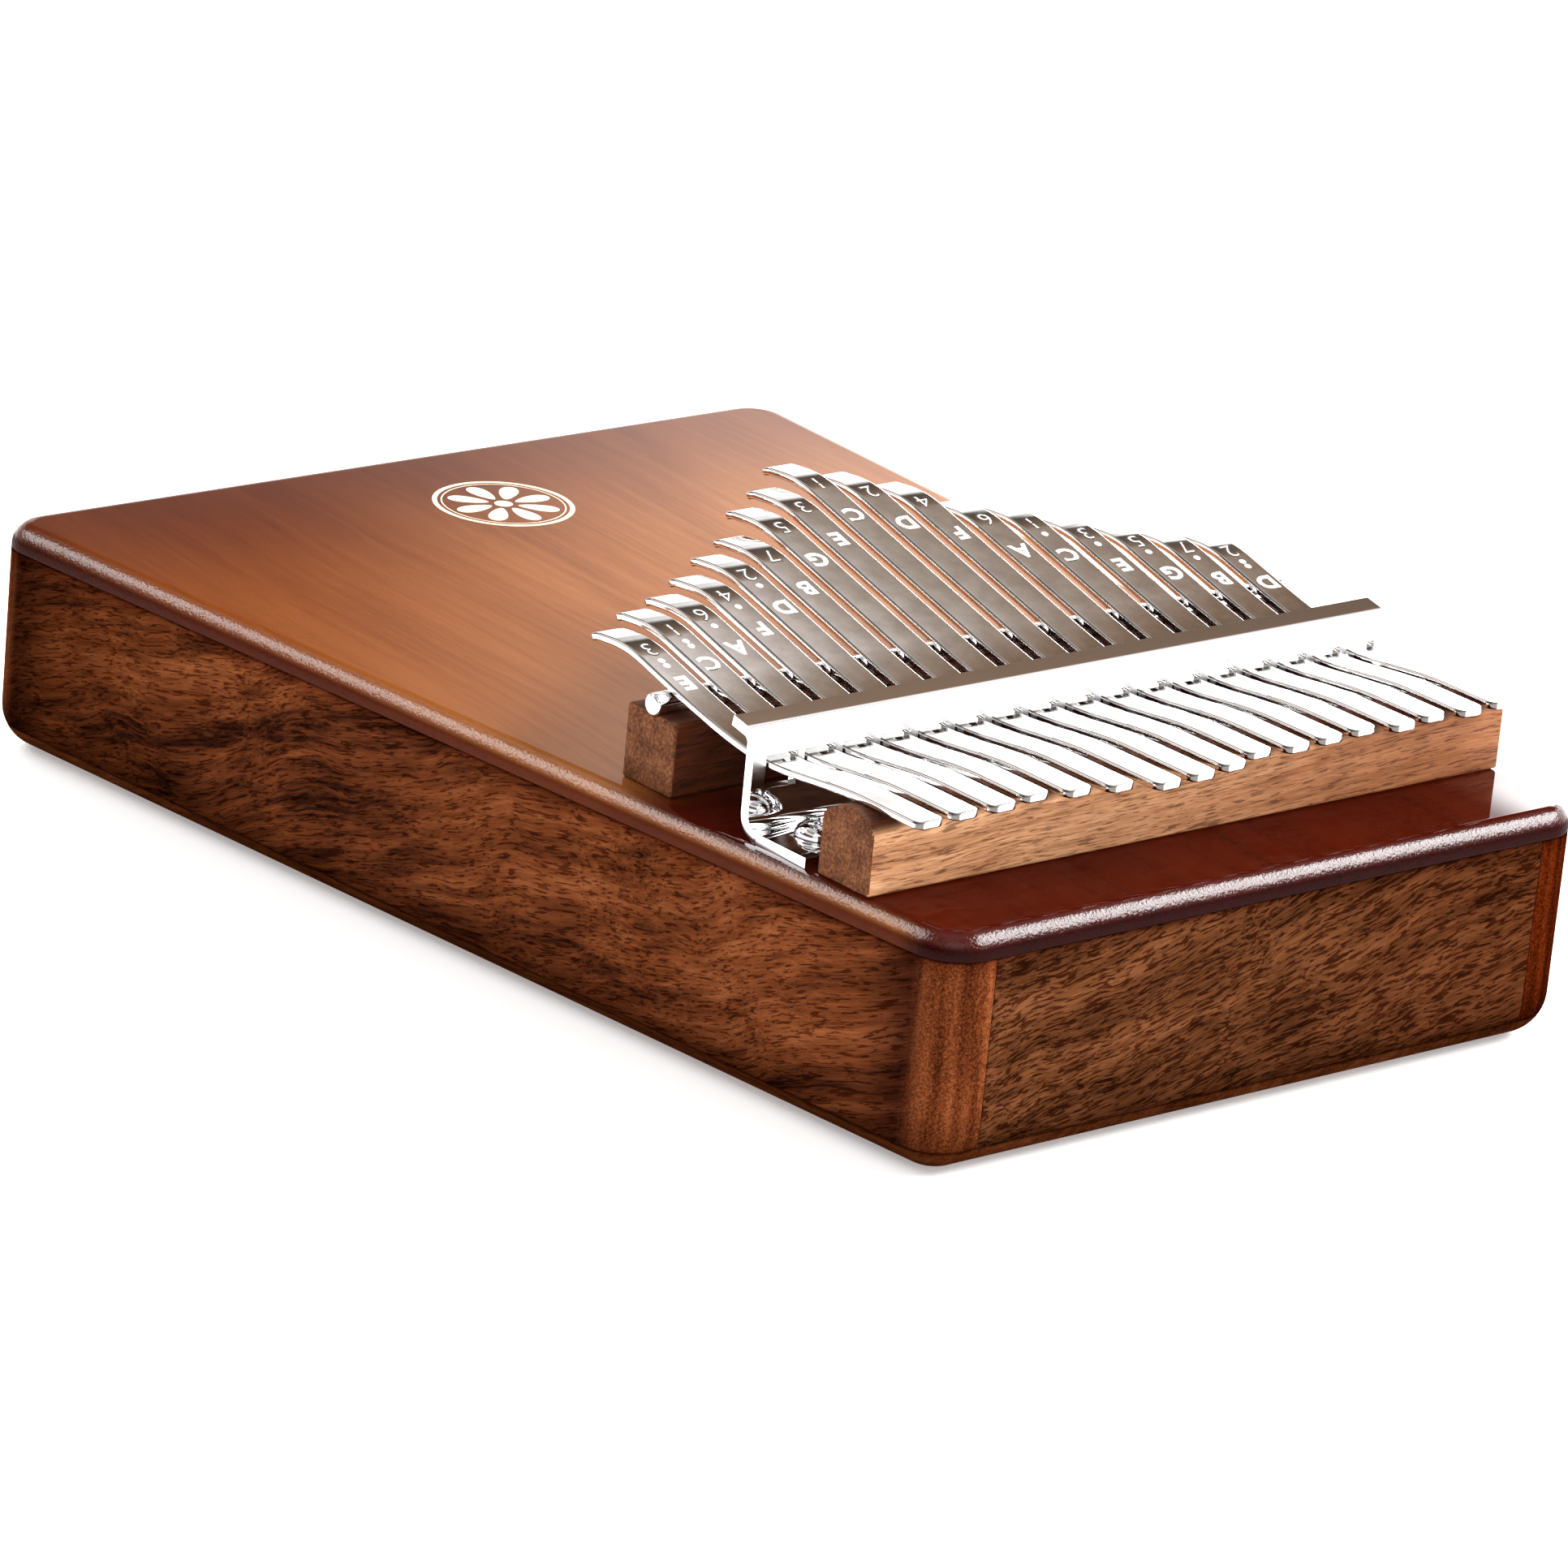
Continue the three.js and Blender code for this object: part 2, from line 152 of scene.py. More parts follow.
body_top = box_mm("soundboard")[1].z
wall_bottom = box_mm("left_side_wall")[0].z
wall_top = box_mm("left_side_wall")[1].z
near_bar_low, near_bar_high = box_mm("near_bridge_bar")
far_bar_low, far_bar_high = box_mm("far_bridge_bar")
rod_low, rod_high = box_mm("saddle_rod")
near_bar_y = (near_bar_low.y + near_bar_high.y) / 2
far_bar_y = (far_bar_low.y + far_bar_high.y) / 2
rod_z = (rod_low.z + rod_high.z) / 2
rod_radius = (rod_high.z - rod_low.z) / 2
bracket_low, bracket_high = box_mm("tine_bracket")
SCREWS = ["bracket_screw_left", "bracket_screw_centre", "bracket_screw_right"]
screw_places = [tuple(((low + high) / 2).xy) for low, high in map(box_mm, SCREWS)]
TINES = [f"tine_{i + 1:02d}" for i in range(len(TONGUE_LENGTHS))]
tine_places = [(low.x + high.x) / 2 for low, high in map(box_mm, TINES)]


# ---- node trees ----
def plug(tree, socket, value):
    """Links a socket to another node's output, or gives it a plain value."""
    if isinstance(value, bpy.types.NodeSocket):
        tree.links.new(value, socket)
    else:
        socket.default_value = value


def maths(tree, operation, *values):
    made = tree.nodes.new("ShaderNodeMath")
    made.operation = operation
    for socket, value in zip(made.inputs, values):
        plug(tree, socket, value)
    return made.outputs[0]


def times(tree, first, second):
    return maths(tree, "MULTIPLY", first, second)


def vector_maths(tree, operation, *values):
    made = tree.nodes.new("ShaderNodeVectorMath")
    made.operation = operation
    for socket, value in zip(made.inputs, values):
        plug(tree, socket, value)
    return made.outputs["Value" if operation == "DOT_PRODUCT" else "Vector"]


def smooth_range(tree, value, low, high):
    """0 below low, 1 above high, and smooth between them; low may be the larger."""
    made = tree.nodes.new("ShaderNodeMapRange")
    made.interpolation_type = "SMOOTHSTEP"
    for name, given in (("Value", value), ("From Min", low), ("From Max", high)):
        plug(tree, made.inputs[name], given)
    return made.outputs["Result"]


def noise(tree, vector, scale=1.0, detail=2.0, roughness=0.5, distortion=0.0):
    made = tree.nodes.new("ShaderNodeTexNoise")
    plug(tree, made.inputs["Vector"], vector)
    made.inputs["Scale"].default_value = scale
    made.inputs["Detail"].default_value = detail
    made.inputs["Roughness"].default_value = roughness
    made.inputs["Distortion"].default_value = distortion
    return made.outputs["Fac"]


def ramp(tree, factor, stops):
    """A colour for each place along a factor, from a list of (place, colour)."""
    made = tree.nodes.new("ShaderNodeValToRGB")
    plug(tree, made.inputs["Fac"], factor)
    elements = made.color_ramp.elements
    while len(elements) < len(stops):
        elements.new(0.5)
    for element, (place, colour) in zip(elements, stops):
        element.position = place
        element.color = (*colour, 1)
    return made.outputs["Color"]


def mix(tree, factor, first, second, blend="MIX"):
    made = tree.nodes.new("ShaderNodeMix")
    made.data_type = "RGBA"
    made.blend_type = blend
    plug(tree, made.inputs[0], factor)
    for socket, value in ((made.inputs[6], first), (made.inputs[7], second)):
        plug(tree, socket, (*value, 1) if isinstance(value, tuple) else value)
    return made.outputs[2]


def bump(tree, height, strength, distance):
    made = tree.nodes.new("ShaderNodeBump")
    made.inputs["Strength"].default_value = strength
    made.inputs["Distance"].default_value = distance
    plug(tree, made.inputs["Height"], height)
    return made.outputs["Normal"]


def place_mm(tree):
    """The place on the object at rest, in millimetres."""
    coordinates = tree.nodes.new("ShaderNodeTexCoord").outputs["Object"]
    return vector_maths(tree, "MULTIPLY", coordinates, (1 / MM, 1 / MM, 1 / MM))


def turned(tree, vector, turn, shift=(0, 0, 0)):
    made = tree.nodes.new("ShaderNodeMapping")
    plug(tree, made.inputs["Vector"], vector)
    made.inputs["Rotation"].default_value = turn
    made.inputs["Location"].default_value = shift
    return made.outputs["Vector"]


def stretched(tree, vector, along, across):
    """Texture space for grain along X: so many cells per millimetre each way."""
    return vector_maths(tree, "MULTIPLY", vector, (along, across, across))


def new_material(name, **sockets):
    """A material with a Principled shader, its tree and the shader."""
    material = bpy.data.materials.new(name)
    material.use_nodes = True
    shader = material.node_tree.nodes["Principled BSDF"]
    for socket, value in sockets.items():
        shader.inputs[socket.replace("_", " ")].default_value = value
    return material, material.node_tree, shader


# ---- wood ----
def waved(tree, point, reach, size):
    """Bends texture space by a slow noise, so that the grain wanders."""
    made = tree.nodes.new("ShaderNodeTexNoise")
    plug(tree, made.inputs["Vector"], point)
    made.inputs["Scale"].default_value = 1 / size
    made.inputs["Detail"].default_value = 1
    centred = vector_maths(tree, "SUBTRACT", made.outputs["Color"], (0.5, 0.5, 0.5))
    wave = vector_maths(tree, "MULTIPLY", centred, (reach, reach, reach))
    return vector_maths(tree, "ADD", point, wave)


def wood(tree, point, tones, figure=(0.03, 0.09), lines=(0.05, 1.3), pores=(0.25, 1.9), pore_share=0.5,
         pore_depth=0.8, weights=(0.45, 0.4, 0.15)):
    """Colour and relief of a sawn board whose grain runs along X of its texture space.

    Each pair gives the cells per millimetre along and across the grain.
    """
    dark, middle, light = tones
    broad = noise(tree, stretched(tree, point, *figure), detail=3, roughness=0.6, distortion=0.8)
    strands = noise(tree, stretched(tree, point, *lines), detail=3, roughness=0.7, distortion=0.3)
    fibres = noise(tree, stretched(tree, point, 0.3, 5), detail=2, roughness=0.6)
    blend = times(tree, broad, weights[0])
    blend = maths(tree, "MULTIPLY_ADD", strands, weights[1], blend)
    blend = maths(tree, "MULTIPLY_ADD", fibres, weights[2], blend)
    colour = ramp(tree, blend, [(0.38, dark), (0.5, middle), (0.62, light)])
    cells = noise(tree, stretched(tree, point, *pores), detail=2, roughness=0.6)
    edge = 0.5 + 0.16 * (1 - pore_share)
    pore = smooth_range(tree, cells, edge, edge + 0.07)
    depth = times(tree, pore, pore_depth)
    colour = mix(tree, depth, colour, mix(tree, 1.0, colour, (0.3, 0.22, 0.2), "MULTIPLY"))
    relief = maths(tree, "SUBTRACT", times(tree, fibres, 0.3), depth)
    return colour, relief


def axes_of(tree, point):
    """The X, Y and Z parts of a vector."""
    separate = tree.nodes.new("ShaderNodeSeparateXYZ")
    plug(tree, separate.inputs[0], point)
    return separate.outputs


def darkened(tree, factor, colour, tone):
    """The colour multiplied by a tone where the factor is 1."""
    return mix(tree, factor, colour, mix(tree, 1.0, colour, tone, "MULTIPLY"))


def seam_shadow(tree, value, *places):
    """1 on thin lines at the given places, for dirt and shade held in a seam."""
    total = None
    for place in places:
        distance = maths(tree, "ABSOLUTE", maths(tree, "SUBTRACT", value, place))
        line = smooth_range(tree, distance, 0.45, 0.1)
        total = line if total is None else maths(tree, "MAXIMUM", total, line)
    return total


SOUNDBOARD_TONES = ((0.17, 0.042, 0.007), (0.22, 0.06, 0.0105), (0.26, 0.078, 0.016))
SIDE_TONES = ((0.022, 0.006, 0.003), (0.122, 0.033, 0.0105), (0.235, 0.075, 0.026))
END_TONES = ((0.033, 0.0105, 0.004), (0.088, 0.030, 0.0105), (0.16, 0.059, 0.023))
BACK_TONES = ((0.05, 0.014, 0.004), (0.16, 0.05, 0.015), (0.28, 0.10, 0.034))
BAR_TONES = ((0.31, 0.13, 0.053), (0.56, 0.275, 0.13), (0.75, 0.43, 0.235))
# The far bar's tones hold painted shade: the bar wood darkened as if in shadow under the tines.
SHADED_FAR_BAR_TONES = ((0.03, 0.006, 0.001), (0.065, 0.013, 0.0025), (0.11, 0.026, 0.005))


def finish_wood(tree, shader, colour, relief, strength=0.25, distance=0.00004):
    plug(tree, shader.inputs["Base Color"], colour)
    plug(tree, shader.inputs["Normal"], bump(tree, relief, strength, distance))


SEAM_SHADE = (0.35, 0.25, 0.25)
SEAM_SHADE_DEPTH = 0.6
LOW_EDGE_SHADE = (0.3, 0.24, 0.22)
COAT_IOR = 1.42
COAT_ROUGHNESS = 0.05


def lacquer(shader):
    shader.inputs["Coat Weight"].default_value = 1.0
    shader.inputs["Coat Roughness"].default_value = COAT_ROUGHNESS
    shader.inputs["Coat IOR"].default_value = COAT_IOR


def soundboard_material():
    """Stained and lacquered top, darker toward the far left corner and at the bridge end, by painted sheen
    and painted shade.
    """
    material, tree, shader = new_material("lacquered_top", Roughness=0.4, Specular_IOR_Level=0.0)
    point = place_mm(tree)
    x, y, z = axes_of(tree, point)
    grain = turned(tree, point, (0, 0, math.radians(-86)))
    colour, relief = wood(tree, waved(tree, grain, 6, 60), SOUNDBOARD_TONES, figure=(0.008, 0.05),
                          lines=(0.02, 0.7), pores=(0.25, 3.5), pore_share=0.3, pore_depth=0.08)
    # Painted sheen: paler and warmer toward the right and the bridge end, darker toward the far left, in
    # place of reflected haze.
    warm = smooth_range(tree, maths(tree, "SUBTRACT", x, times(tree, y, 0.8)), -105, 5)
    painted_sheen = mix(tree, warm, (0.62, 0.5, 0.3), (1.22, 1.5, 1.8))
    colour = mix(tree, 1.0, colour, painted_sheen, "MULTIPLY")
    # Painted shade: the top darkens toward the far end.
    colour = darkened(tree, smooth_range(tree, y, 40, 92), colour, (0.5, 0.37, 0.27))
    # Painted shadow at the bridge end, where the bars and tines shade the top; weaker on the side rims.
    rim = smooth_range(tree, z, body_top - 0.1, body_top - 1.2)
    side_rim = times(tree, rim, smooth_range(tree, y, -88, -82))
    bridge_shadow = smooth_range(tree, y, far_bar_y + 7, far_bar_y - 8)
    shaded = times(tree, bridge_shadow, maths(tree, "MULTIPLY_ADD", side_rim, -0.75, 1))
    colour = darkened(tree, shaded, colour, (0.17, 0.03, 0.012))
    # Painted shade on the lower part of the rounded top edge.
    low_rim_shade = smooth_range(tree, z, body_top - 1.1, body_top - 2.1)
    colour = darkened(tree, low_rim_shade, colour, (0.3, 0.16, 0.12))
    plug(tree, shader.inputs["Base Color"], colour)
    peel = noise(tree, point, scale=2.6, detail=2)
    edge = smooth_range(tree, z, body_top - 0.02, body_top - 0.5)
    plug(tree, shader.inputs["Normal"], bump(tree, relief, 0.15, 0.00002))
    skin = times(tree, peel, edge)
    plug(tree, shader.inputs["Coat Normal"], bump(tree, skin, 0.9, 0.0001))
    lacquer(shader)
    plug(tree, shader.inputs["Coat Roughness"], maths(tree, "MULTIPLY_ADD", edge, 0.08, 0.04))
    rubbed = smooth_range(tree, z, body_top - 1.2, body_top - 2)
    before_bar = smooth_range(tree, y, near_bar_y, near_bar_low.y)
    dull = times(tree, before_bar, smooth_range(tree, x, 50, 40))
    dull_flat = times(tree, dull, maths(tree, "SUBTRACT", 1, edge))
    weight = maths(tree, "MULTIPLY_ADD", rubbed, -0.85, 1)
    weight = maths(tree, "MULTIPLY_ADD", dull_flat, -0.75, weight)
    plug(tree, shader.inputs["Coat Weight"], weight)
    return material


def end_grain(tree, point):
    """The side wall's sawn end: fine speckle crossed by soft upright bands."""
    speckle = noise(tree, point, scale=3.4, detail=2, roughness=0.6)
    bands = noise(tree, vector_maths(tree, "MULTIPLY", point, (0.55, 0.55, 0.03)), detail=2, distortion=0.4)
    blend = maths(tree, "MULTIPLY_ADD", bands, 0.5, times(tree, speckle, 0.5))
    return ramp(tree, blend, [(0.38, (0.035, 0.008, 0.0025)), (0.5, (0.115, 0.029, 0.009)),
                              (0.62, (0.23, 0.068, 0.022))])


def edge_shade(tree, z, colour):
    """Darker close under the top, painted shade round the bottom edge, and dark seams."""
    top = smooth_range(tree, z, wall_top - 2.5, wall_top)
    colour = darkened(tree, times(tree, top, 0.6), colour, (0.45, 0.3, 0.3))
    # Painted shade low on the walls, round the bottom edge.
    colour = darkened(tree, smooth_range(tree, z, 11, 1), colour, LOW_EDGE_SHADE)
    seam = seam_shadow(tree, z, wall_bottom, wall_top)
    return darkened(tree, times(tree, seam, SEAM_SHADE_DEPTH), colour, SEAM_SHADE)


def side_material():
    """Streaked walnut that turns to end grain where the wall's sawn ends show."""
    material, tree, shader = new_material("side_walnut", Roughness=0.5, Specular_IOR_Level=0.0)
    point = place_mm(tree)
    x, y, z = axes_of(tree, point)
    grain = turned(tree, turned(tree, point, (math.radians(17), 0, 0)), (0, 0, math.radians(90)))
    wandering = waved(tree, waved(tree, grain, 16, 60), 1.6, 10)
    colour, relief = wood(tree, wandering, SIDE_TONES, figure=(0.016, 0.09), lines=(0.04, 0.8),
                          pores=(0.33, 3.0), pore_share=0.8, pore_depth=0.9, weights=(0.5, 0.38, 0.12))
    # Painted shade: the walls darken toward the far end.
    colour = darkened(tree, smooth_range(tree, y, 20, 92), colour, (0.55, 0.5, 0.42))
    end = smooth_range(tree, maths(tree, "ABSOLUTE", y), 85.5, 90.5)
    # Painted shade on the rounded corners at the ends of the walls.
    corner = smooth_range(tree, maths(tree, "ABSOLUTE", y), 76, 88)
    colour = darkened(tree, corner, colour, (0.27, 0.24, 0.33))
    sawn = darkened(tree, smooth_range(tree, x, -20, 20), end_grain(tree, point), (0.45, 0.25, 0.15))
    colour = mix(tree, end, colour, sawn)
    colour = edge_shade(tree, z, colour)
    finish_wood(tree, shader, colour, relief)
    return material


def end_material():
    """Streaked walnut with its grain across the box, darker toward the right."""
    material, tree, shader = new_material("end_walnut", Roughness=0.5, Specular_IOR_Level=0.0)
    point = place_mm(tree)
    x, _, z = axes_of(tree, point)
    grain = turned(tree, point, (0, math.radians(13), 0), (7, 3, 11))
    wandering = waved(tree, waved(tree, grain, 8, 40), 1.6, 7)
    colour, relief = wood(tree, wandering, END_TONES, figure=(0.03, 0.16), lines=(0.08, 1.3),
                          pores=(0.36, 2.7), pore_share=1.0, pore_depth=1.0, weights=(0.4, 0.4, 0.2))
    colour = darkened(tree, smooth_range(tree, x, -10, 50), colour, (0.7, 0.6, 0.55))
    colour = edge_shade(tree, z, colour)
    finish_wood(tree, shader, colour, relief)
    return material


def back_material():
    material, tree, shader = new_material("back_walnut", Roughness=0.5, Specular_IOR_Level=0.0)
    point = place_mm(tree)
    z = axes_of(tree, point)[2]
    grain = turned(tree, point, (0, 0, math.radians(-90)), (31, 5, 0))
    colour, relief = wood(tree, waved(tree, grain, 12, 60), BACK_TONES, figure=(0.01, 0.06),
                          lines=(0.03, 0.8), pores=(0.3, 3), pore_share=0.5, pore_depth=0.7)
    # Painted shade round the bottom edge.
    round_edge_shade = smooth_range(tree, z, 0.1, 0.8)
    colour = darkened(tree, round_edge_shade, colour, LOW_EDGE_SHADE)
    seam = seam_shadow(tree, z, wall_bottom)
    colour = darkened(tree, times(tree, seam, SEAM_SHADE_DEPTH), colour, SEAM_SHADE)
    finish_wood(tree, shader, colour, relief)
    return material


def bar_material(name, tones, hidden_shade):
    """Raw open-pored wood, paler at the left; the near bar has painted shade where the tines cover it."""
    material, tree, shader = new_material(name, Roughness=0.62, Specular_IOR_Level=0.2)
    point = place_mm(tree)
    x, y, z = axes_of(tree, point)
    grain = turned(tree, point, (0, math.radians(2), 0), (3, 9, 4))
    colour, relief = wood(tree, waved(tree, grain, 2, 30), tones, figure=(0.02, 0.25), lines=(0.1, 2.4),
                          pores=(0.3, 3.8), pore_share=0.7, pore_depth=0.75)
    colour = darkened(tree, smooth_range(tree, x, -30, 52), colour, (0.55, 0.4, 0.3))
    shoulder = near_bar_high.z - BAR_SHOULDER_DROP
    # Painted shade on the crown and far half of the near bar, under the tines; hidden_shade is 0 for the far
    # bar.
    hidden = maths(tree, "MAXIMUM", smooth_range(tree, z, shoulder - 0.2, shoulder + 0.8),
                   smooth_range(tree, y, near_bar_y, near_bar_high.y))
    colour = darkened(tree, times(tree, hidden, hidden_shade), colour, (0.14, 0.08, 0.05))
    finish_wood(tree, shader, colour, relief, 0.6, 0.00006)
    return material


def bar_end_material():
    material, tree, shader = new_material("raw_bar_end_grain", Roughness=0.75, Specular_IOR_Level=0.15)
    point = place_mm(tree)
    speckle = noise(tree, point, scale=2.2, detail=4, roughness=0.75)
    rings = noise(tree, turned(tree, point, (math.radians(20), 0, 0)), scale=0.35, detail=2)
    blend = maths(tree, "MULTIPLY_ADD", rings, 0.3, times(tree, speckle, 0.7))
    colour = ramp(tree, blend, [(0.36, (0.03, 0.008, 0.0025)), (0.5, (0.115, 0.037, 0.012)),
                                (0.64, (0.24, 0.095, 0.038))])
    finish_wood(tree, shader, colour, speckle, 0.8, 0.00012)
    return material


# ---- metal and print ----
def metal_material(name, colours, polish, cloud_size, brushed_wall=False, edge_dark_reflection=0.0):
    """Plated steel: its colour and polish drift a little, with faint rubbing marks.

    The rounded edges along the tines can hold a painted dark line, standing in for a dark reflection.
    """
    material, tree, shader = new_material(name, Metallic=1.0)
    point = place_mm(tree)
    clouds = noise(tree, point, scale=1 / cloud_size, detail=4, roughness=0.65)
    marks = noise(tree, stretched(tree, turned(tree, point, (0, 0, math.radians(-90))), 0.5, 9), detail=2)
    colour = ramp(tree, clouds, [(0.35, colours[0]), (0.65, colours[1])])
    normal = tree.nodes.new("ShaderNodeNewGeometry").outputs["Normal"]
    across = maths(tree, "ABSOLUTE", axes_of(tree, normal)[0])
    off_flat = smooth_range(tree, across, 0.2, 0.45)
    off_side = smooth_range(tree, across, 0.98, 0.85)
    rounded = times(tree, off_flat, off_side)
    # Painted reflection: a dark line on the rounded edges.
    colour = darkened(tree, times(tree, rounded, edge_dark_reflection), colour, (0.08, 0.06, 0.05))
    plug(tree, shader.inputs["Base Color"], colour)
    drift = maths(tree, "MULTIPLY_ADD", clouds, polish[1] - polish[0], polish[0])
    if brushed_wall:
        _, y, z = axes_of(tree, point)
        on_wall = smooth_range(tree, y, WALL_Y, WALL_Y - SHEET_THICKNESS / 2)
        above = smooth_range(tree, z, SLOT_BOTTOM, SLOT_TOP)
        brushed = times(tree, on_wall, above)
        drift = maths(tree, "MULTIPLY_ADD", brushed, 0.4, drift)
    plug(tree, shader.inputs["Roughness"], drift)
    plug(tree, shader.inputs["Normal"], bump(tree, marks, 0.05, 0.00001))
    return material


def engraving_material():
    material, tree, shader = new_material("label_strokes", Metallic=0.2, Roughness=0.4)
    grit = noise(tree, place_mm(tree), scale=6, detail=2)
    colour = ramp(tree, grit, [(0.3, (0.82, 0.80, 0.77)), (0.7, (0.95, 0.93, 0.90))])
    plug(tree, shader.inputs["Base Color"], colour)
    return material


def shadow_material():
    # Painted shadow: a dark sheet under each engraved mark, in place of the shade in the engraving.
    material, tree, shader = new_material("label_painted_shadow", Metallic=0.6, Roughness=0.5)
    grit = noise(tree, place_mm(tree), scale=5, detail=2)
    colour = ramp(tree, grit, [(0.3, (0.025, 0.02, 0.016)), (0.7, (0.07, 0.058, 0.046))])
    plug(tree, shader.inputs["Base Color"], colour)
    return material


def print_material():
    material, tree, shader = new_material("cream_print", Roughness=0.45, Specular_IOR_Level=0.4)
    point = place_mm(tree)
    grain = turned(tree, point, (0, 0, math.radians(-86)))
    weave = noise(tree, stretched(tree, grain, 0.3, 3), detail=3, roughness=0.6)
    colour = ramp(tree, weave, [(0.3, (0.80, 0.62, 0.42)), (0.7, (0.93, 0.78, 0.57))])
    plug(tree, shader.inputs["Base Color"], colour)
    lacquer(shader)
    return material


def paper_material():
    material, tree, shader = new_material(
        "floor_paper", Roughness=0.9, Specular_IOR_Level=0.1,
        Emission_Color=(1, 1, 1, 1), Emission_Strength=0.3,
    )
    tone = noise(tree, place_mm(tree), scale=0.01, detail=1)
    colour = ramp(tree, tone, [(0.3, (0.90, 0.90, 0.90)), (0.7, (0.92, 0.92, 0.92))])
    plug(tree, shader.inputs["Base Color"], colour)
    return material


# ---- mesh helpers ----
def loft(rings):
    """A closed solid through rings of equal length, with a flat cap at each end."""
    bm = bmesh.new()
    loops = [[bm.verts.new(point) for point in ring] for ring in rings]
    for lower, upper in zip(loops, loops[1:]):
        for i in range(len(lower)):
            j = (i + 1) % len(lower)
            bm.faces.new((lower[i], lower[j], upper[j], upper[i]))
    bm.faces.new(loops[0][::-1])
    bm.faces.new(loops[-1])
    bmesh.ops.recalc_face_normals(bm, faces=bm.faces)
    return bm


def linked(name, data):
    """A new object in the scene."""
    made = bpy.data.objects.new(name, data)
    bpy.context.scene.collection.objects.link(made)
    return made


def new_object(name, bm, materials=()):
    """An object in metres from a bmesh in millimetres."""
    mesh = bpy.data.meshes.new(name)
    bm.to_mesh(mesh)
    bm.free()
    mesh.transform(Matrix.Scale(MM, 4))
    for material in materials:
        mesh.materials.append(material)
    mesh.shade_smooth()
    return linked(name, mesh)


def settle(piece):
    """Turns a piece's modifiers into plain mesh."""
    view = bpy.context.evaluated_depsgraph_get()
    solid = bpy.data.meshes.new_from_object(piece.evaluated_get(view))
    piece.modifiers.clear()
    piece.data = solid


def cut(piece, cutter):
    """Takes one object's shape out of another, and deletes the cutter."""
    modifier = piece.modifiers.new("cut", "BOOLEAN")
    modifier.operation = "DIFFERENCE"
    modifier.solver = "EXACT"
    modifier.object = cutter
    settle(piece)
    bpy.data.objects.remove(cutter)


def circle(centre, radius, z, sides):
    turns = [2 * math.pi * i / sides for i in range(sides)]
    return [(centre[0] + radius * math.cos(a), centre[1] + radius * math.sin(a), z) for a in turns]


def drill(piece, places, radius, low, high, sides=48):
    for place in places:
        cutter = loft([circle(place, radius, low, sides), circle(place, radius, high, sides)])
        cut(piece, new_object("drill", cutter))


def ease(piece, width, segments=2, angle=35):
    """Rounds the sharp edges by a width in millimetres and shades the faces evenly."""
    modifier = piece.modifiers.new("eased_edges", "BEVEL")
    modifier.width = width * MM
    modifier.segments = segments
    modifier.limit_method = "ANGLE"
    modifier.angle_limit = math.radians(angle)
    modifier.use_clamp_overlap = True
    settle(piece)
    piece.data.shade_smooth()
    piece.modifiers.new("even_shading", "WEIGHTED_NORMAL")


def place(piece, slot, node, body=BOX):
    """Puts a piece on a body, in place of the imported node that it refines."""
    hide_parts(node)
    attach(piece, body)


# ---- box ----
TAPER = math.atan((FREE_END_WIDTH - BRIDGE_END_WIDTH) / 2 / BODY_LENGTH)
CORNER_STEPS = 14
EDGE_STEPS = 12


def half_width(y):
    along = (y + BODY_LENGTH / 2) / BODY_LENGTH
    return (BRIDGE_END_WIDTH + (FREE_END_WIDTH - BRIDGE_END_WIDTH) * along) / 2


def corner_arc(end, inset):
    """Points round a right-hand corner of the box, from the bridge end's side to the free end's."""
    y = end * (BODY_LENGTH / 2 - CORNER_RADIUS)
    x = half_width(y) - CORNER_RADIUS / math.cos(TAPER)
    first, last = (-math.pi / 2, -TAPER) if end < 0 else (-TAPER, math.pi / 2)
    radius = CORNER_RADIUS - inset
    angles = [first + (last - first) * i / CORNER_STEPS for i in range(CORNER_STEPS + 1)]
    return [(x + radius * math.cos(a), y + radius * math.sin(a)) for a in angles]


def outline(inset, z):
    """The box's plan at one level, pulled in by an inset."""
    right = corner_arc(-1, inset) + corner_arc(1, inset)
    left = [(-x, y) for x, y in reversed(right)]
    return [(x, y, z) for x, y in right + left]


def bottom_inset(z):
    """How far the rounded bottom edge pulls the outline in at a height."""
    rise = max(BOTTOM_EDGE_RADIUS - z, 0)
    return BOTTOM_EDGE_RADIUS - math.sqrt(BOTTOM_EDGE_RADIUS ** 2 - rise ** 2)


def arc_levels(radius, first, last):
    """Heights on a quarter round, evenly spaced by angle between two heights."""
    a0 = math.acos(1 - first / radius)
    a1 = math.acos(1 - last / radius)
    return [radius * (1 - math.cos(a0 + (a1 - a0) * i / EDGE_STEPS)) for i in range(EDGE_STEPS + 1)]


def make_soundboard(material):
    rings = [outline(0, wall_top)]
    for drop in reversed(arc_levels(TOP_EDGE_RADIUS, 0, TOP_EDGE_RADIUS)):
        rise = TOP_EDGE_RADIUS - drop
        inset = TOP_EDGE_RADIUS - math.sqrt(TOP_EDGE_RADIUS ** 2 - rise ** 2)
        rings.append(outline(inset, body_top - drop))
    piece = new_object("lacquered_soundboard", loft(rings), [material])
    drill(piece, screw_places, SCREW_HOLE_RADIUS, wall_top - OVERCUT, body_top + OVERCUT, 24)
    ease(piece, SEAM_BEVEL)
    place(piece, "soundboard_wood", "soundboard")


def make_back(material):
    rings = [outline(bottom_inset(z), z) for z in arc_levels(BOTTOM_EDGE_RADIUS, 0, wall_bottom)]
    piece = new_object("rounded_back", loft(rings), [material])
    drill(piece, TONE_HOLES, TONE_HOLE_RADIUS, -OVERCUT, wall_bottom + OVERCUT)
    ease(piece, 0.3, 3)
    place(piece, "side_wood", "back_plate")


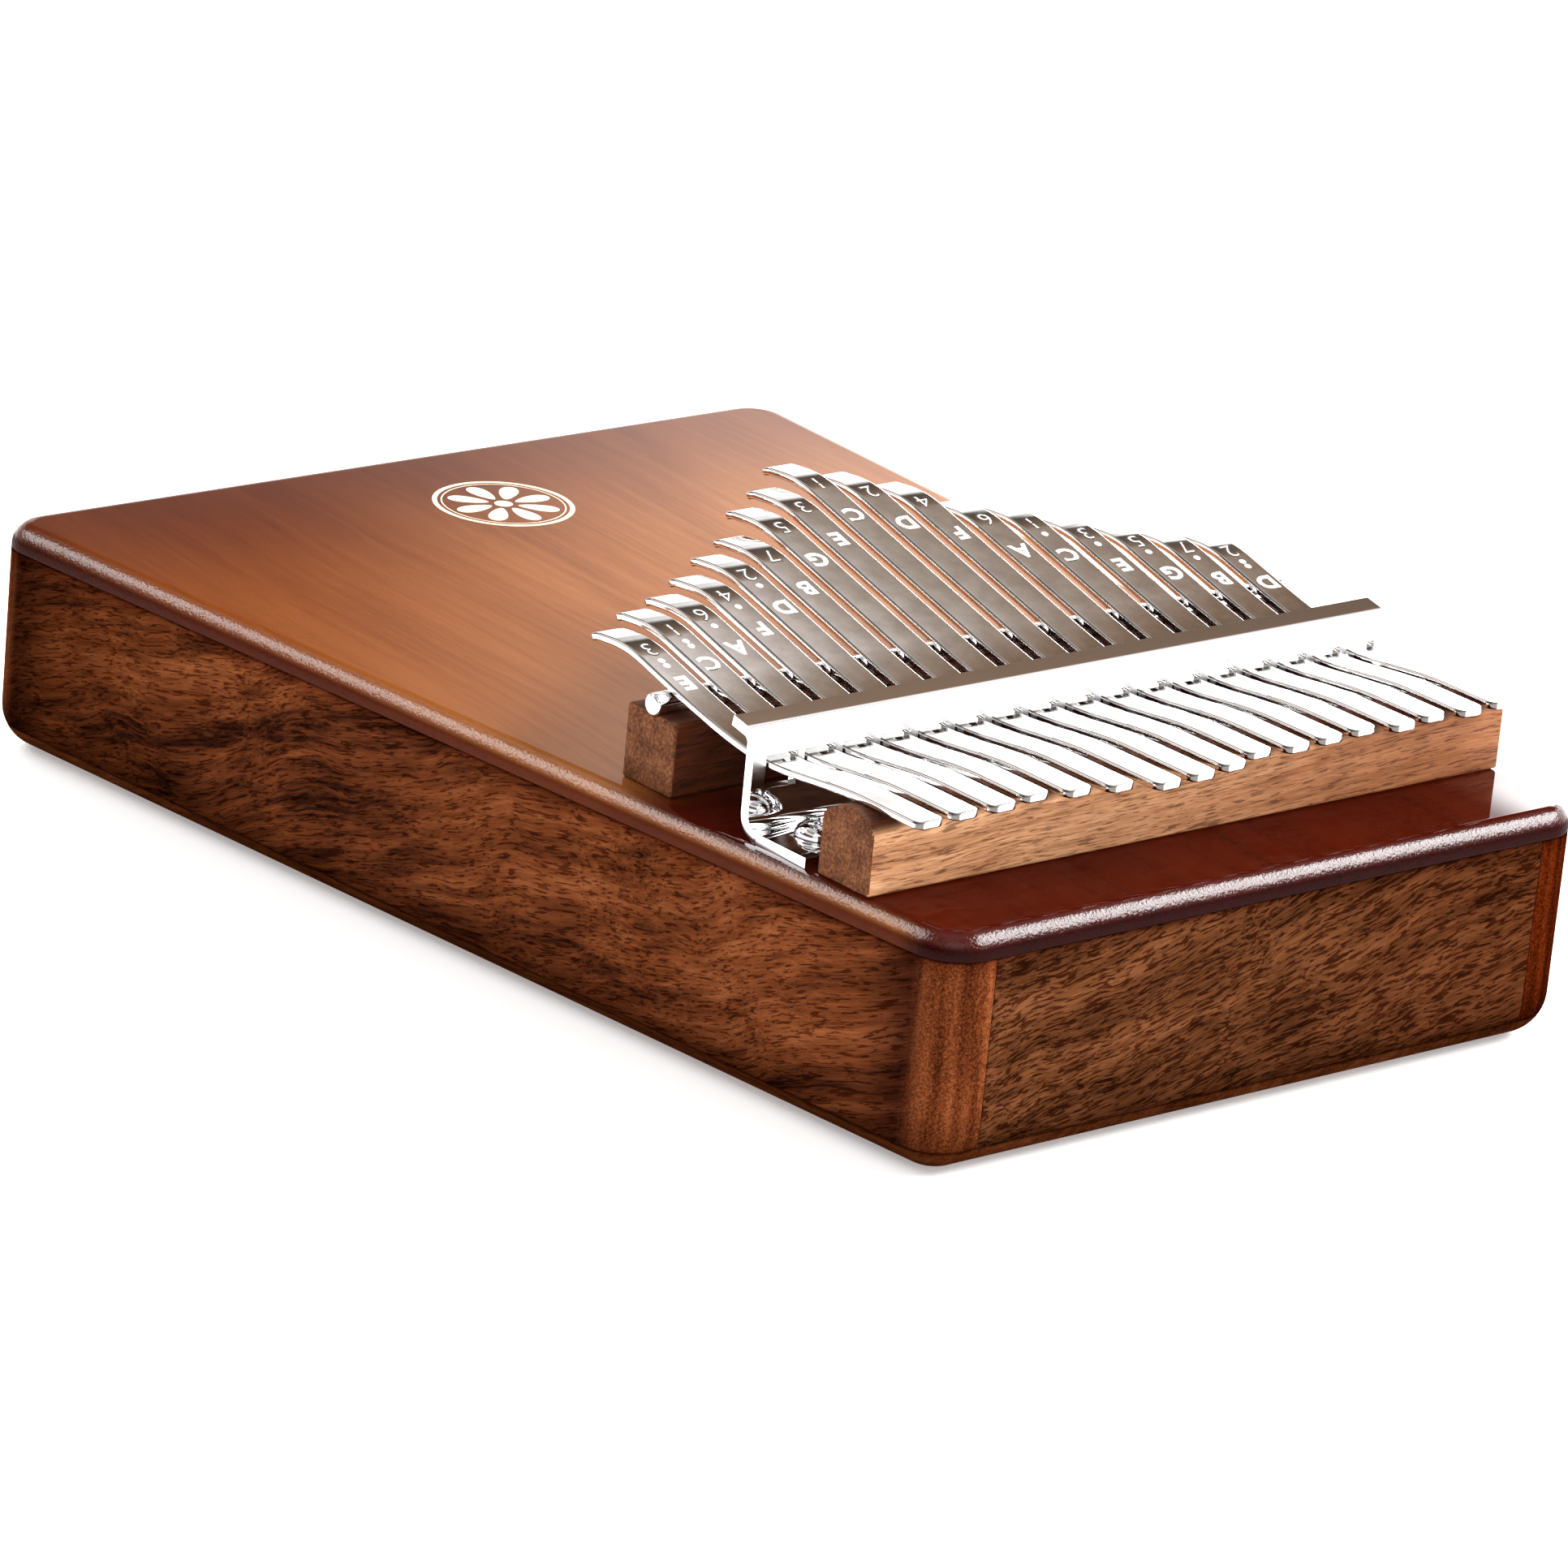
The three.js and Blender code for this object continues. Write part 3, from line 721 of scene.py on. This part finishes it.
def wall_levels():
    return arc_levels(BOTTOM_EDGE_RADIUS, wall_bottom, BOTTOM_EDGE_RADIUS) + [wall_top]


def make_side_wall(side, name, node, material):
    rings = []
    for z in wall_levels():
        inset = bottom_inset(z)
        end = BODY_LENGTH / 2 - inset
        outer = corner_arc(-1, inset) + corner_arc(1, inset)
        inner = [(half_width(y) - SIDE_WALL_THICKNESS, y) for y in (end, -end)]
        rings.append([(side * x, y, z) for x, y in outer + inner])
    piece = new_object(name, loft(rings), [material])
    ease(piece, SEAM_BEVEL)
    place(piece, "side_wood", node)


def make_end_panel(end, name, node, material):
    rings = []
    for z in wall_levels():
        outside = end * (BODY_LENGTH / 2 - bottom_inset(z))
        inside = end * (BODY_LENGTH / 2 - END_PANEL_THICKNESS)
        corners = []
        for y in (outside, inside):
            reach = half_width(y) - SIDE_WALL_THICKNESS - PANEL_SEAM
            corners.append([(-reach, y, z), (reach, y, z)])
        rings.append(corners[0] + corners[1][::-1])
    piece = new_object(name, loft(rings), [material])
    ease(piece, SEAM_BEVEL)
    place(piece, "end_wood", node)


def dress_brace(material):
    """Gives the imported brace, hidden in the box, its wood."""
    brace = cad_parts["bridge_brace"]
    brace.data.materials.clear()
    brace.data.materials.append(material)


# ---- bridge ----
def loft_along_x(section, low, high):
    return loft([[(x, y, z) for y, z in section] for x in (low, high)])


def mark_end_faces(piece, index):
    """Gives the faces that look along X another of the piece's materials."""
    for polygon in piece.data.polygons:
        if abs(polygon.normal.x) > 0.8:
            polygon.material_index = index


def make_near_bar(material, end_material):
    half = (near_bar_high.y - near_bar_low.y) / 2
    radius = (half ** 2 + BAR_SHOULDER_DROP ** 2) / (2 * BAR_SHOULDER_DROP)
    sweep = math.asin(half / radius)
    crown = [sweep * (1 - 2 * i / 16) for i in range(17)]
    section = [(near_bar_y - half, near_bar_low.z), (near_bar_y + half, near_bar_low.z)]
    section += [
        (near_bar_y + radius * math.sin(a), near_bar_high.z - radius * (1 - math.cos(a))) for a in crown
    ]
    piece = new_object(
        "crowned_near_bar", loft_along_x(section, near_bar_low.x, near_bar_high.x), [material, end_material],
    )
    mark_end_faces(piece, 1)
    ease(piece, BAR_EDGE_ROUND, 3, 25)
    place(piece, "bar_wood", "near_bridge_bar")


def make_far_bar(material, end_material):
    half = (far_bar_high.y - far_bar_low.y) / 2
    sweep = math.acos((rod_z - far_bar_high.z) / GROOVE_RADIUS)
    groove = [math.pi * 1.5 + sweep * (1 - 2 * i / 12) for i in range(13)]
    section = [(far_bar_y - half, far_bar_low.z), (far_bar_y + half, far_bar_low.z)]
    section.append((far_bar_y + half, far_bar_high.z))
    section += [
        (far_bar_y + GROOVE_RADIUS * math.cos(a), rod_z + GROOVE_RADIUS * math.sin(a)) for a in groove
    ]
    section.append((far_bar_y - half, far_bar_high.z))
    piece = new_object(
        "grooved_far_bar", loft_along_x(section, far_bar_low.x, far_bar_high.x), [material, end_material],
    )
    mark_end_faces(piece, 1)
    ease(piece, BAR_EDGE_ROUND, 3, 60)
    place(piece, "bar_wood", "far_bridge_bar")


def lathe_rings(profile, centre, axis, sides=48):
    """Rings of a turned shape from (radius, place along the axis), about X or Z."""
    rings = []
    for radius, along in profile:
        ring = circle((0, 0), radius, along, sides)
        if axis == "X":
            ring = [(z, x, y) for x, y, z in ring]
        rings.append([tuple(Vector(point) + Vector(centre)) for point in ring])
    return rings


def make_rod(material):
    turns = [math.pi / 2 * i / 5 for i in range(6)]
    start = [
        (rod_radius - ROD_END_ROUND * (1 - math.sin(a)), rod_low.x + ROD_END_ROUND * (1 - math.cos(a)))
        for a in turns
    ]
    profile = start + [(radius, rod_high.x + rod_low.x - x) for radius, x in reversed(start)]
    piece = new_object("polished_rod", loft(lathe_rings(profile, (0, far_bar_y, rod_z), "X")), [material])
    piece.modifiers.new("even_shading", "WEIGHTED_NORMAL")
    place(piece, "chrome", "saddle_rod")


def bend(before, corner, after, radius, steps):
    """Points along a round bend between two straight runs that meet at a corner."""
    back = (before - corner).normalized()
    forward = (after - corner).normalized()
    half = back.angle(forward) / 2
    centre = corner + (back + forward).normalized() * radius / math.sin(half)
    start = corner + back * radius / math.tan(half) - centre
    finish = corner + forward * radius / math.tan(half) - centre
    turn = start.angle_signed(finish)
    points = []
    for i in range(steps + 1):
        point = start.copy()
        point.rotate(Matrix.Rotation(-turn * i / steps, 2))
        points.append(centre + point)
    return points


def bracket_path():
    """The bracket's middle line in Y and Z, with a point at each end of the slots."""
    base = body_top + SHEET_THICKNESS / 2
    tip = Vector(LIP_TIP)
    top = Vector((WALL_Y, LIP_BEND_Z))
    foot = Vector((WALL_Y, base))
    edge = Vector((FLANGE_END_Y, base))
    upper = bend(tip, top, foot, LIP_BEND_RADIUS, 10)
    lower = bend(top, foot, edge, FLANGE_BEND_RADIUS, 12)
    slots = [Vector((WALL_Y, SLOT_TOP)), Vector((WALL_Y, SLOT_BOTTOM))]
    return [tip] + upper + slots + lower + [edge]


def make_bracket(material):
    path = bracket_path()
    columns = [bracket_low.x]
    for x in tine_places:
        columns += [x - SLOT_WIDTH / 2, x + SLOT_WIDTH / 2]
    columns.append(bracket_high.x)
    bm = bmesh.new()
    rows = [[bm.verts.new((x, *point)) for x in columns] for point in path]
    for i, (upper, lower) in enumerate(zip(rows, rows[1:])):
        is_slot_row = abs(path[i].y - SLOT_TOP) < 1e-6
        for j in range(len(columns) - 1):
            if is_slot_row and j % 2 == 1:
                continue
            bm.faces.new((upper[j], upper[j + 1], lower[j + 1], lower[j]))
    bmesh.ops.recalc_face_normals(bm, faces=bm.faces)
    piece = new_object("chromed_bracket", bm, [material])
    sheet = piece.modifiers.new("sheet", "SOLIDIFY")
    sheet.thickness = SHEET_THICKNESS * MM
    sheet.offset = 0
    sheet.use_even_offset = True
    settle(piece)
    flange_top = body_top + SHEET_THICKNESS
    drill(piece, screw_places, SCREW_HOLE_RADIUS, body_top - OVERCUT, flange_top + OVERCUT, 24)
    ease(piece, 0.28, 3, 50)
    place(piece, "chrome", "tine_bracket")


def recess_cutter(centre, head_top, turn):
    """One bar of a screw's cross recess, narrower at its floor."""
    along = Vector((math.cos(turn), math.sin(turn), 0))
    across = Vector((-math.sin(turn), math.cos(turn), 0))
    rings = []
    for rise, reach, half in (RECESS_FLOOR, RECESS_OPENING):
        middle = Vector((centre.x, centre.y, head_top + rise))
        corners = ((1, 1), (-1, 1), (-1, -1), (1, -1))
        rings.append([tuple(middle + along * reach * u + across * half * v) for u, v in corners])
    return new_object("recess", loft(rings))


def make_screw(name, node, material):
    low, high = box_mm(node)
    centre = (low + high) / 2
    seat = high.z - SCREW_HEAD_HEIGHT
    shank = SCREW_SHANK_RADIUS
    point = low.z - seat
    dome = SCREW_HEAD_HEIGHT - SCREW_HEAD_RIM
    turns = [math.pi / 2 * i / 10 for i in range(10)]
    profile = [(SCREW_POINT_RADIUS, point), (shank, point + shank), (shank, 0)]
    profile.append((SCREW_HEAD_RADIUS - SCREW_HEAD_RIM, 0))
    profile += [(SCREW_HEAD_RADIUS * math.cos(a), SCREW_HEAD_RIM + dome * math.sin(a)) for a in turns]
    piece = new_object(name, loft(lathe_rings(profile, (centre.x, centre.y, seat), "Z")), [material])
    for turn in RECESS_TURNS:
        cut(piece, recess_cutter(centre, high.z, math.radians(turn)))
    ease(piece, 0.06, 2, 40)
    place(piece, "chrome", node)


# ---- tines ----
def bezier(p0, p1, p2, p3, steps):
    """Points along a cubic curve from p0 to p3."""
    out = []
    for i in range(steps + 1):
        t = i / steps
        s = 1 - t
        out.append(p0 * s ** 3 + p1 * 3 * s * s * t + p2 * 3 * s * t * t + p3 * t ** 3)
    return out


def spaced(first, last, step):
    """Evenly spaced points between two places, without either of them."""
    count = max(int((last - first).length / step), 1)
    return [first.lerp(last, i / count) for i in range(1, count)]


def turn_down(start, heading, angle, radius, steps):
    """Points along an arc that turns down from a heading, without its start."""
    points = []
    for i in range(1, steps + 1):
        turned_by = angle * i / steps
        chord = 2 * radius * math.sin(turned_by / 2)
        toward = heading - turned_by / 2
        points.append(start + Vector((math.cos(toward), math.sin(toward))) * chord)
    return points


def tine_path(tongue, tail):
    """The middle line of a tine in Y and Z: tail, crest, dip, climb, tongue and tip."""
    half = TINE_THICKNESS / 2
    slope = Vector((math.cos(TONGUE_SLOPE), math.sin(TONGUE_SLOPE)))
    on_rod = Vector((far_bar_y, rod_z)) + Vector((-slope.y, slope.x)) * (rod_radius + ROD_GAP + half)
    on_bar = Vector((near_bar_y, near_bar_high.z + TAIL_LIFT + half))
    in_slot = Vector((WALL_Y, TINE_AT_WALL))
    tail_end = on_bar - Vector((tail, 0))
    level = Vector((1, 0))
    dip = bezier(on_bar, on_bar + level * CREST_REACH, in_slot - level * CREST_REACH, in_slot, 20)
    climb = bezier(in_slot, in_slot + level * SLOT_REACH, on_rod - slope * ROD_REACH, on_rod, 20)
    straight = tongue - TIP_BEND_RADIUS * TIP_BEND_ANGLE - TIP_STRAIGHT - TIP_DROP_RADIUS * TIP_DROP_ANGLE
    bend_start = on_rod + slope * straight
    bend_points = turn_down(bend_start, TONGUE_SLOPE, TIP_BEND_ANGLE, TIP_BEND_RADIUS, 14)
    heading = TONGUE_SLOPE - TIP_BEND_ANGLE
    drop_start = bend_points[-1] + Vector((math.cos(heading), math.sin(heading))) * TIP_STRAIGHT
    points = [tail_end] + spaced(tail_end, on_bar, 2) + dip + climb[1:]
    points += spaced(on_rod, bend_start, 3) + [bend_start] + bend_points + [drop_start]
    return points + turn_down(drop_start, heading, TIP_DROP_ANGLE, TIP_DROP_RADIUS, 8)


def lengths_along(points):
    total = [0.0]
    for before, after in zip(points, points[1:]):
        total.append(total[-1] + (after - before).length)
    return total


def on_path(points, lengths, distance):
    """The point and the upward normal at a distance along a path."""
    i = 1
    while i < len(points) - 1 and lengths[i] < distance:
        i += 1
    t = (distance - lengths[i - 1]) / (lengths[i] - lengths[i - 1])
    point = points[i - 1].lerp(points[i], t)

    def tangent(k):
        return (points[min(k + 1, len(points) - 1)] - points[max(k - 1, 0)]).normalized()

    along = tangent(i - 1).lerp(tangent(i), min(max(t, 0), 1)).normalized()
    return point, Vector((-along.y, along.x))


def pulled_in(distance, radius):
    """How far a rounded end narrows at a distance from its very end."""
    if distance >= radius:
        return 0
    return radius - math.sqrt(radius ** 2 - (radius - distance) ** 2)


def end_stations(length):
    """Distances along a tine where its rounded ends need a ring."""
    tail = [TAIL_CORNER_RADIUS * (1 - math.cos(math.pi / 2 * i / 9)) for i in range(10)]
    tip = [TIP_CORNER_RADIUS * (1 - math.cos(math.pi / 2 * i / 7)) for i in range(8)]
    return tail, [length - distance for distance in reversed(tip)]


def tine_section(width, thickness, edge):
    """A flat bar's section with rounded edges, as offsets across and up."""
    points = []
    for sx, sz, first in ((1, 1, 0), (-1, 1, 90), (-1, -1, 180), (1, -1, 270)):
        for i in range(5):
            a = math.radians(first + 90 * i / 4)
            across = sx * (width / 2 - edge) + edge * math.cos(a)
            above = sz * (thickness / 2 - edge) + edge * math.sin(a)
            points.append((across, above))
    return points


# The least space between rings, and what keeps the rounded ends from closing to a point.
RING_GAP = 0.3
END_ROUND_MARGIN = 0.02
SECTION_MARGIN = 0.01


def make_tine(index, material):
    """One spring, drawn ring by ring."""
    points = tine_path(TONGUE_LENGTHS[index], TAIL_LENGTHS[index])
    lengths = lengths_along(points)
    tail, tip = end_stations(lengths[-1])
    middle = [d for d in lengths if tail[-1] + RING_GAP < d < tip[0] - RING_GAP]
    rings = []
    for distance in tail + middle + tip:
        point, up = on_path(points, lengths, distance)
        from_end = min(distance, lengths[-1] - distance)
        corner = TAIL_CORNER_RADIUS if distance < lengths[-1] / 2 else TIP_CORNER_RADIUS
        width = TINE_WIDTH - 2 * pulled_in(from_end, corner)
        edge = TINE_EDGE_ROUND - END_ROUND_MARGIN
        thickness = TINE_THICKNESS - 2 * pulled_in(from_end, edge)
        radius = min(TINE_EDGE_ROUND, thickness / 2 - SECTION_MARGIN)
        ring = []
        for across, above in tine_section(width, thickness, radius):
            place_on = point + up * above
            ring.append((tine_places[index] + across, place_on.x, place_on.y))
        rings.append(ring)
    piece = new_object(f"spring_{TINES[index]}", loft(rings), [material])
    piece.modifiers.new("even_shading", "WEIGHTED_NORMAL")
    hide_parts(TINES[index])
    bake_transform(piece)
    return points, lengths


def text_mesh(text, grow, thickness):
    """One character as a thin solid, centred, LABEL_HEIGHT tall, in millimetres."""
    curve = bpy.data.curves.new("glyph", "FONT")
    curve.body = text
    curve.size = 1
    curve.extrude = 0.5
    curve.offset = grow / LABEL_HEIGHT - 0.01
    curve.resolution_u = 5
    holder = linked("glyph", curve)
    view = bpy.context.evaluated_depsgraph_get()
    mesh = bpy.data.meshes.new_from_object(holder.evaluated_get(view))
    bpy.data.objects.remove(holder)
    xs = [vertex.co.x for vertex in mesh.vertices]
    ys = [vertex.co.y for vertex in mesh.vertices]
    centre = Vector(((min(xs) + max(xs)) / 2, (min(ys) + max(ys)) / 2, 0))
    size = LABEL_HEIGHT / CAPITAL_HEIGHT
    for vertex in mesh.vertices:
        u, v, w = (vertex.co - centre) * size
        vertex.co = (u, v, (w / size + 0.5) * thickness)
    return mesh


def ring_mesh(outer, inner, thickness, sides=20):
    """A small flat ring, in millimetres."""
    bm = bmesh.new()
    levels = [(outer, 0), (outer, thickness), (inner, thickness), (inner, 0)]
    loops = [[bm.verts.new(p) for p in circle((0, 0), radius, z, sides)] for radius, z in levels]
    for first, second in zip(loops, loops[1:] + loops[:1]):
        for i in range(sides):
            j = (i + 1) % sides
            bm.faces.new((first[i], first[j], second[j], second[i]))
    bmesh.ops.recalc_face_normals(bm, faces=bm.faces)
    mesh = bpy.data.meshes.new("dot")
    bm.to_mesh(mesh)
    bm.free()
    return mesh


def make_label(index, points, lengths, strokes, label_shadow):
    """The engraved number, octave dots and letter of one tine, bent to its surface."""
    number, dots, letter = NOTES[index]
    marks = []
    for text, from_tip in ((number, NUMBER_FROM_TIP), (letter, LETTER_FROM_TIP)):
        marks.append((text_mesh(text, SHADOW_GROW, SHADOW_HEIGHT), from_tip, 1))
        marks.append((text_mesh(text, STROKE_GROW, STROKE_HEIGHT), from_tip, 0))
    for i in range(dots):
        from_tip = FIRST_DOT_FROM_TIP + i * DOT_SPACING
        marks.append((ring_mesh(*DOT_SHADOW, SHADOW_HEIGHT), from_tip, 1))
        marks.append((ring_mesh(*DOT_STROKE, STROKE_HEIGHT), from_tip, 0))
    bm = bmesh.new()
    for mesh, from_tip, slot in marks:
        first_vertex = len(bm.verts)
        bm.from_mesh(mesh)
        bm.verts.ensure_lookup_table()
        for vertex in bm.verts[first_vertex:]:
            u, v, w = vertex.co
            point, up = on_path(points, lengths, lengths[-1] - from_tip - v)
            spot = point + up * (TINE_THICKNESS / 2 + w)
            vertex.co = (tine_places[index] - u, spot.x, spot.y)
        # A known fault: from_mesh numbers a mark's vertices from 0, so only faces whose numbers are past
        # first_vertex take the slot. The rest keep the strokes' pale material, and parts of the later marks'
        # painted shadows are pale instead of dark.
        for face in bm.faces:
            if all(vertex.index >= first_vertex for vertex in face.verts):
                face.material_index = slot
        bm.verts.index_update()
        bpy.data.meshes.remove(mesh)
    bmesh.ops.recalc_face_normals(bm, faces=bm.faces)
    piece = new_object(f"note_label_{index + 1:02d}", bm, [strokes, label_shadow])
    piece.data.shade_flat()
    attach(piece, TINES[index])


# ---- rosette ----
def printed_patch(bm, points):
    """Adds a thin solid of one flat outline, lying on the soundboard."""
    low = [bm.verts.new((*p, body_top)) for p in points]
    high = [bm.verts.new((*p, body_top + PRINT_THICKNESS)) for p in points]
    bm.faces.new(low[::-1])
    bm.faces.new(high)
    for i in range(len(points)):
        j = (i + 1) % len(points)
        bm.faces.new((low[i], low[j], high[j], high[i]))


def petal_outline(centre, turn):
    """A petal, wider toward its outer end, as shares of the rosette's radius."""
    points = []
    for k in range(PETAL_STEPS):
        a = 2 * math.pi * k / PETAL_STEPS
        reach = ROSETTE_RADIUS * (0.5 + 0.29 * math.cos(a))
        side = ROSETTE_RADIUS * 0.13 * math.sin(a) * (1 + 0.35 * math.cos(a))
        points.append(centre + Matrix.Rotation(turn, 2) @ Vector((reach, side)))
    return points


def make_rosette(material):
    """A plain printed flower: eight petals and a bud inside two thin rings."""
    bm = bmesh.new()
    centre = Vector(ROSETTE_CENTRE)
    for i in range(PETALS):
        printed_patch(bm, petal_outline(centre, 2 * math.pi * i / PETALS))
    bud = circle((0, 0), ROSETTE_RADIUS * 0.13, 0, PETAL_STEPS)
    printed_patch(bm, [centre + Vector(p[:2]) for p in bud])
    for outer, inner in ((1, 0.93), (0.88, 0.86)):
        ring = bmesh.new()
        ring.from_mesh(ring_mesh(ROSETTE_RADIUS * outer, ROSETTE_RADIUS * inner, PRINT_THICKNESS, 72))
        bmesh.ops.translate(ring, verts=ring.verts, vec=(centre.x, centre.y, body_top))
        mesh = bpy.data.meshes.new("ring")
        ring.to_mesh(mesh)
        ring.free()
        bm.from_mesh(mesh)
    bmesh.ops.recalc_face_normals(bm, faces=bm.faces)
    piece = new_object("printed_rosette", bm, [material])
    piece.data.shade_flat()
    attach(piece, BOX)


# ---- camera, stage and light ----
# The camera's place and target in metres, its roll in degrees and its lens in millimetres.
CAMERA_PLACE = (-0.660, -0.7459, 0.3653)
CAMERA_TARGET = (-0.03306, -0.03494, 0.030)
CAMERA_ROLL = 5.42
LENS = 181.26
# The floor's half width and its level in millimetres, just under the flat back so that
# the two faces don't coincide.
FLOOR_REACH = 3000
FLOOR_LEVEL = -0.05


def aimed(position, target):
    """A placing at a position that looks at a target."""
    facing = (target - position).to_track_quat("-Z", "Y").to_matrix().to_4x4()
    return Matrix.Translation(position) @ facing


def make_camera():
    """Looks down the length of the box from its bridge end, from the left."""
    data = bpy.data.cameras.new("camera")
    data.sensor_width = 36
    data.lens = LENS
    data.clip_start = 0.05
    data.clip_end = 20
    data.dof.use_dof = False
    camera = linked("camera", data)
    roll = Matrix.Rotation(math.radians(CAMERA_ROLL), 4, "Z")
    camera.matrix_world = aimed(Vector(CAMERA_PLACE), Vector(CAMERA_TARGET)) @ roll
    bpy.context.scene.camera = camera


def make_floor():
    bm = bmesh.new()
    corners = [(-1, -1), (1, -1), (1, 1), (-1, 1)]
    bm.faces.new([bm.verts.new((u * FLOOR_REACH, v * FLOOR_REACH, FLOOR_LEVEL)) for u, v in corners])
    floor = new_object("floor", bm, [paper_material()])


def area_light(name, position, target, size, power):
    """A rectangular light, placed and aimed in metres."""
    data = bpy.data.lights.new(name, "AREA")
    data.shape = "RECTANGLE"
    data.size, data.size_y = size
    data.energy = power
    light = linked(name, data)
    light.matrix_world = aimed(Vector(position), Vector(target))
    return light


def softbox(tree, azimuth, elevation, across, upward, softness, strength):
    """Light from a patch of the studio wall: its span each way and soft edge, in degrees."""
    total = strength
    for value, (low, high), soft in ((azimuth, across, softness[0]), (elevation, upward, softness[1])):
        rise = smooth_range(tree, value, low - soft, low)
        fall = smooth_range(tree, value, high + soft, high)
        total = times(tree, total, times(tree, rise, fall))
    return total


# Colour of the studio wall by height in degrees: a white band near the floor, a dark
# warm band above it, a white band a little under half way up, then grey to the ceiling.
WALL_COLOURS = [
    (0, (1.1, 1.1, 1.1)), (14, (1.1, 1.1, 1.1)), (18, (0.16, 0.15, 0.14)), (24, (0.08, 0.06, 0.045)),
    (32, (0.14, 0.10, 0.075)), (36, (0.24, 0.16, 0.11)), (39, (0.40, 0.33, 0.28)), (41.5, (1.0, 0.92, 0.9)),
    (46, (1.1, 1.05, 1.03)), (52, (0.35, 0.34, 0.33)),
]


# Patches of light on the studio wall, in degrees: span across, from +Y toward +X, span
# upward and soft edge each way, then strength. Angles across run from -180 to 180.
SOFTBOXES = [
    ((44, 100), (2, 20), (7, 5), 1.25),  # haze over the right of the top
    ((49, 56), (2, 22), (4, 4), 9.5),  # white corner beside the bridge
    ((82, 138), (31, 51), (6, 4), 18.0),  # front edge of the top
    ((-48, -8), (31, 47), (8, 6), 7.0),  # left edge of the top
    ((140, 190), (0, 22), (12, 6), 1.0),  # low fill before the bridge end, up to the half turn
    ((-190, -145), (0, 22), (6, 6), 1.0),  # the same fill past the half turn
    ((-165, -120), (20, 60), (12, 10), 0.7),  # high fill behind the camera
]


def make_world():
    world = bpy.data.worlds.new("studio")
    bpy.context.scene.world = world
    world.use_nodes = True
    tree = world.node_tree
    direction = tree.nodes.new("ShaderNodeTexCoord").outputs["Generated"]
    x, y, z = axes_of(tree, direction)
    in_degrees = math.degrees(1)
    azimuth = times(tree, maths(tree, "ARCTAN2", x, y), in_degrees)
    elevation = times(tree, maths(tree, "ARCSINE", z), in_degrees)
    stops = [(degree / 90, colour) for degree, colour in WALL_COLOURS]
    total = ramp(tree, maths(tree, "DIVIDE", elevation, 90), stops)
    for across, upward, softness, strength in SOFTBOXES:
        box = softbox(tree, azimuth, elevation, across, upward, softness, strength)
        total = mix(tree, 1.0, total, box, "ADD")
    background = tree.nodes["Background"]
    plug(tree, background.inputs["Color"], total)
    background.inputs["Strength"].default_value = 1.0


# ---- build ----
make_camera()
make_floor()
make_world()
area_light("overhead", (0, 0, 2.2), (0, 0, 0), (1.7, 1.7), 3)
key = area_light("key_from_behind", (0.42, 1.72, 1.29), (0, 0, 0), (1.3, 0.9), 25)
key.visible_glossy = False
bpy.context.scene.view_settings.view_transform = "Standard"

side_wood = side_material()
end_wood = end_material()
bar_wood = bar_material("raw_bar_wood", BAR_TONES, 1.0)
# The far bar's wood, with painted shade in its tones.
shaded_far_bar_wood = bar_material("raw_far_bar_wood_painted_shade", SHADED_FAR_BAR_TONES, 0.0)
bar_end = bar_end_material()
chrome = metal_material("chrome_plate", ((0.88, 0.88, 0.89), (0.95, 0.95, 0.96)), (0.02, 0.07), 9)
bracket_chrome = metal_material(
    "bracket_plate", ((0.95, 0.95, 0.96), (0.99, 0.99, 1.0)), (0.02, 0.05), 9,
    brushed_wall=True, edge_dark_reflection=0.9,
)
steel = metal_material(
    "spring_steel_plate", ((0.80, 0.78, 0.76), (0.97, 0.965, 0.96)), (0.03, 0.09), 3.5, edge_dark_reflection=0.9,
)

make_soundboard(soundboard_material())
make_back(back_material())
make_side_wall(-1, "left_wall_walnut", "left_side_wall", side_wood)
make_side_wall(1, "right_wall_walnut", "right_side_wall", side_wood)
make_end_panel(-1, "near_panel_walnut", "near_end_panel", end_wood)
make_end_panel(1, "far_panel_walnut", "far_end_panel", end_wood)
make_near_bar(bar_wood, bar_end)
make_far_bar(shaded_far_bar_wood, bar_end)
make_rod(chrome)
make_bracket(bracket_chrome)
for node in SCREWS:
    make_screw(f"domed_{node}", node, chrome)
dress_brace(shaded_far_bar_wood)

strokes = engraving_material()
label_shadow = shadow_material()
for number in range(len(TINES)):
    tine_points, tine_lengths = make_tine(number, steel)
    make_label(number, tine_points, tine_lengths, strokes, label_shadow)
make_rosette(print_material())
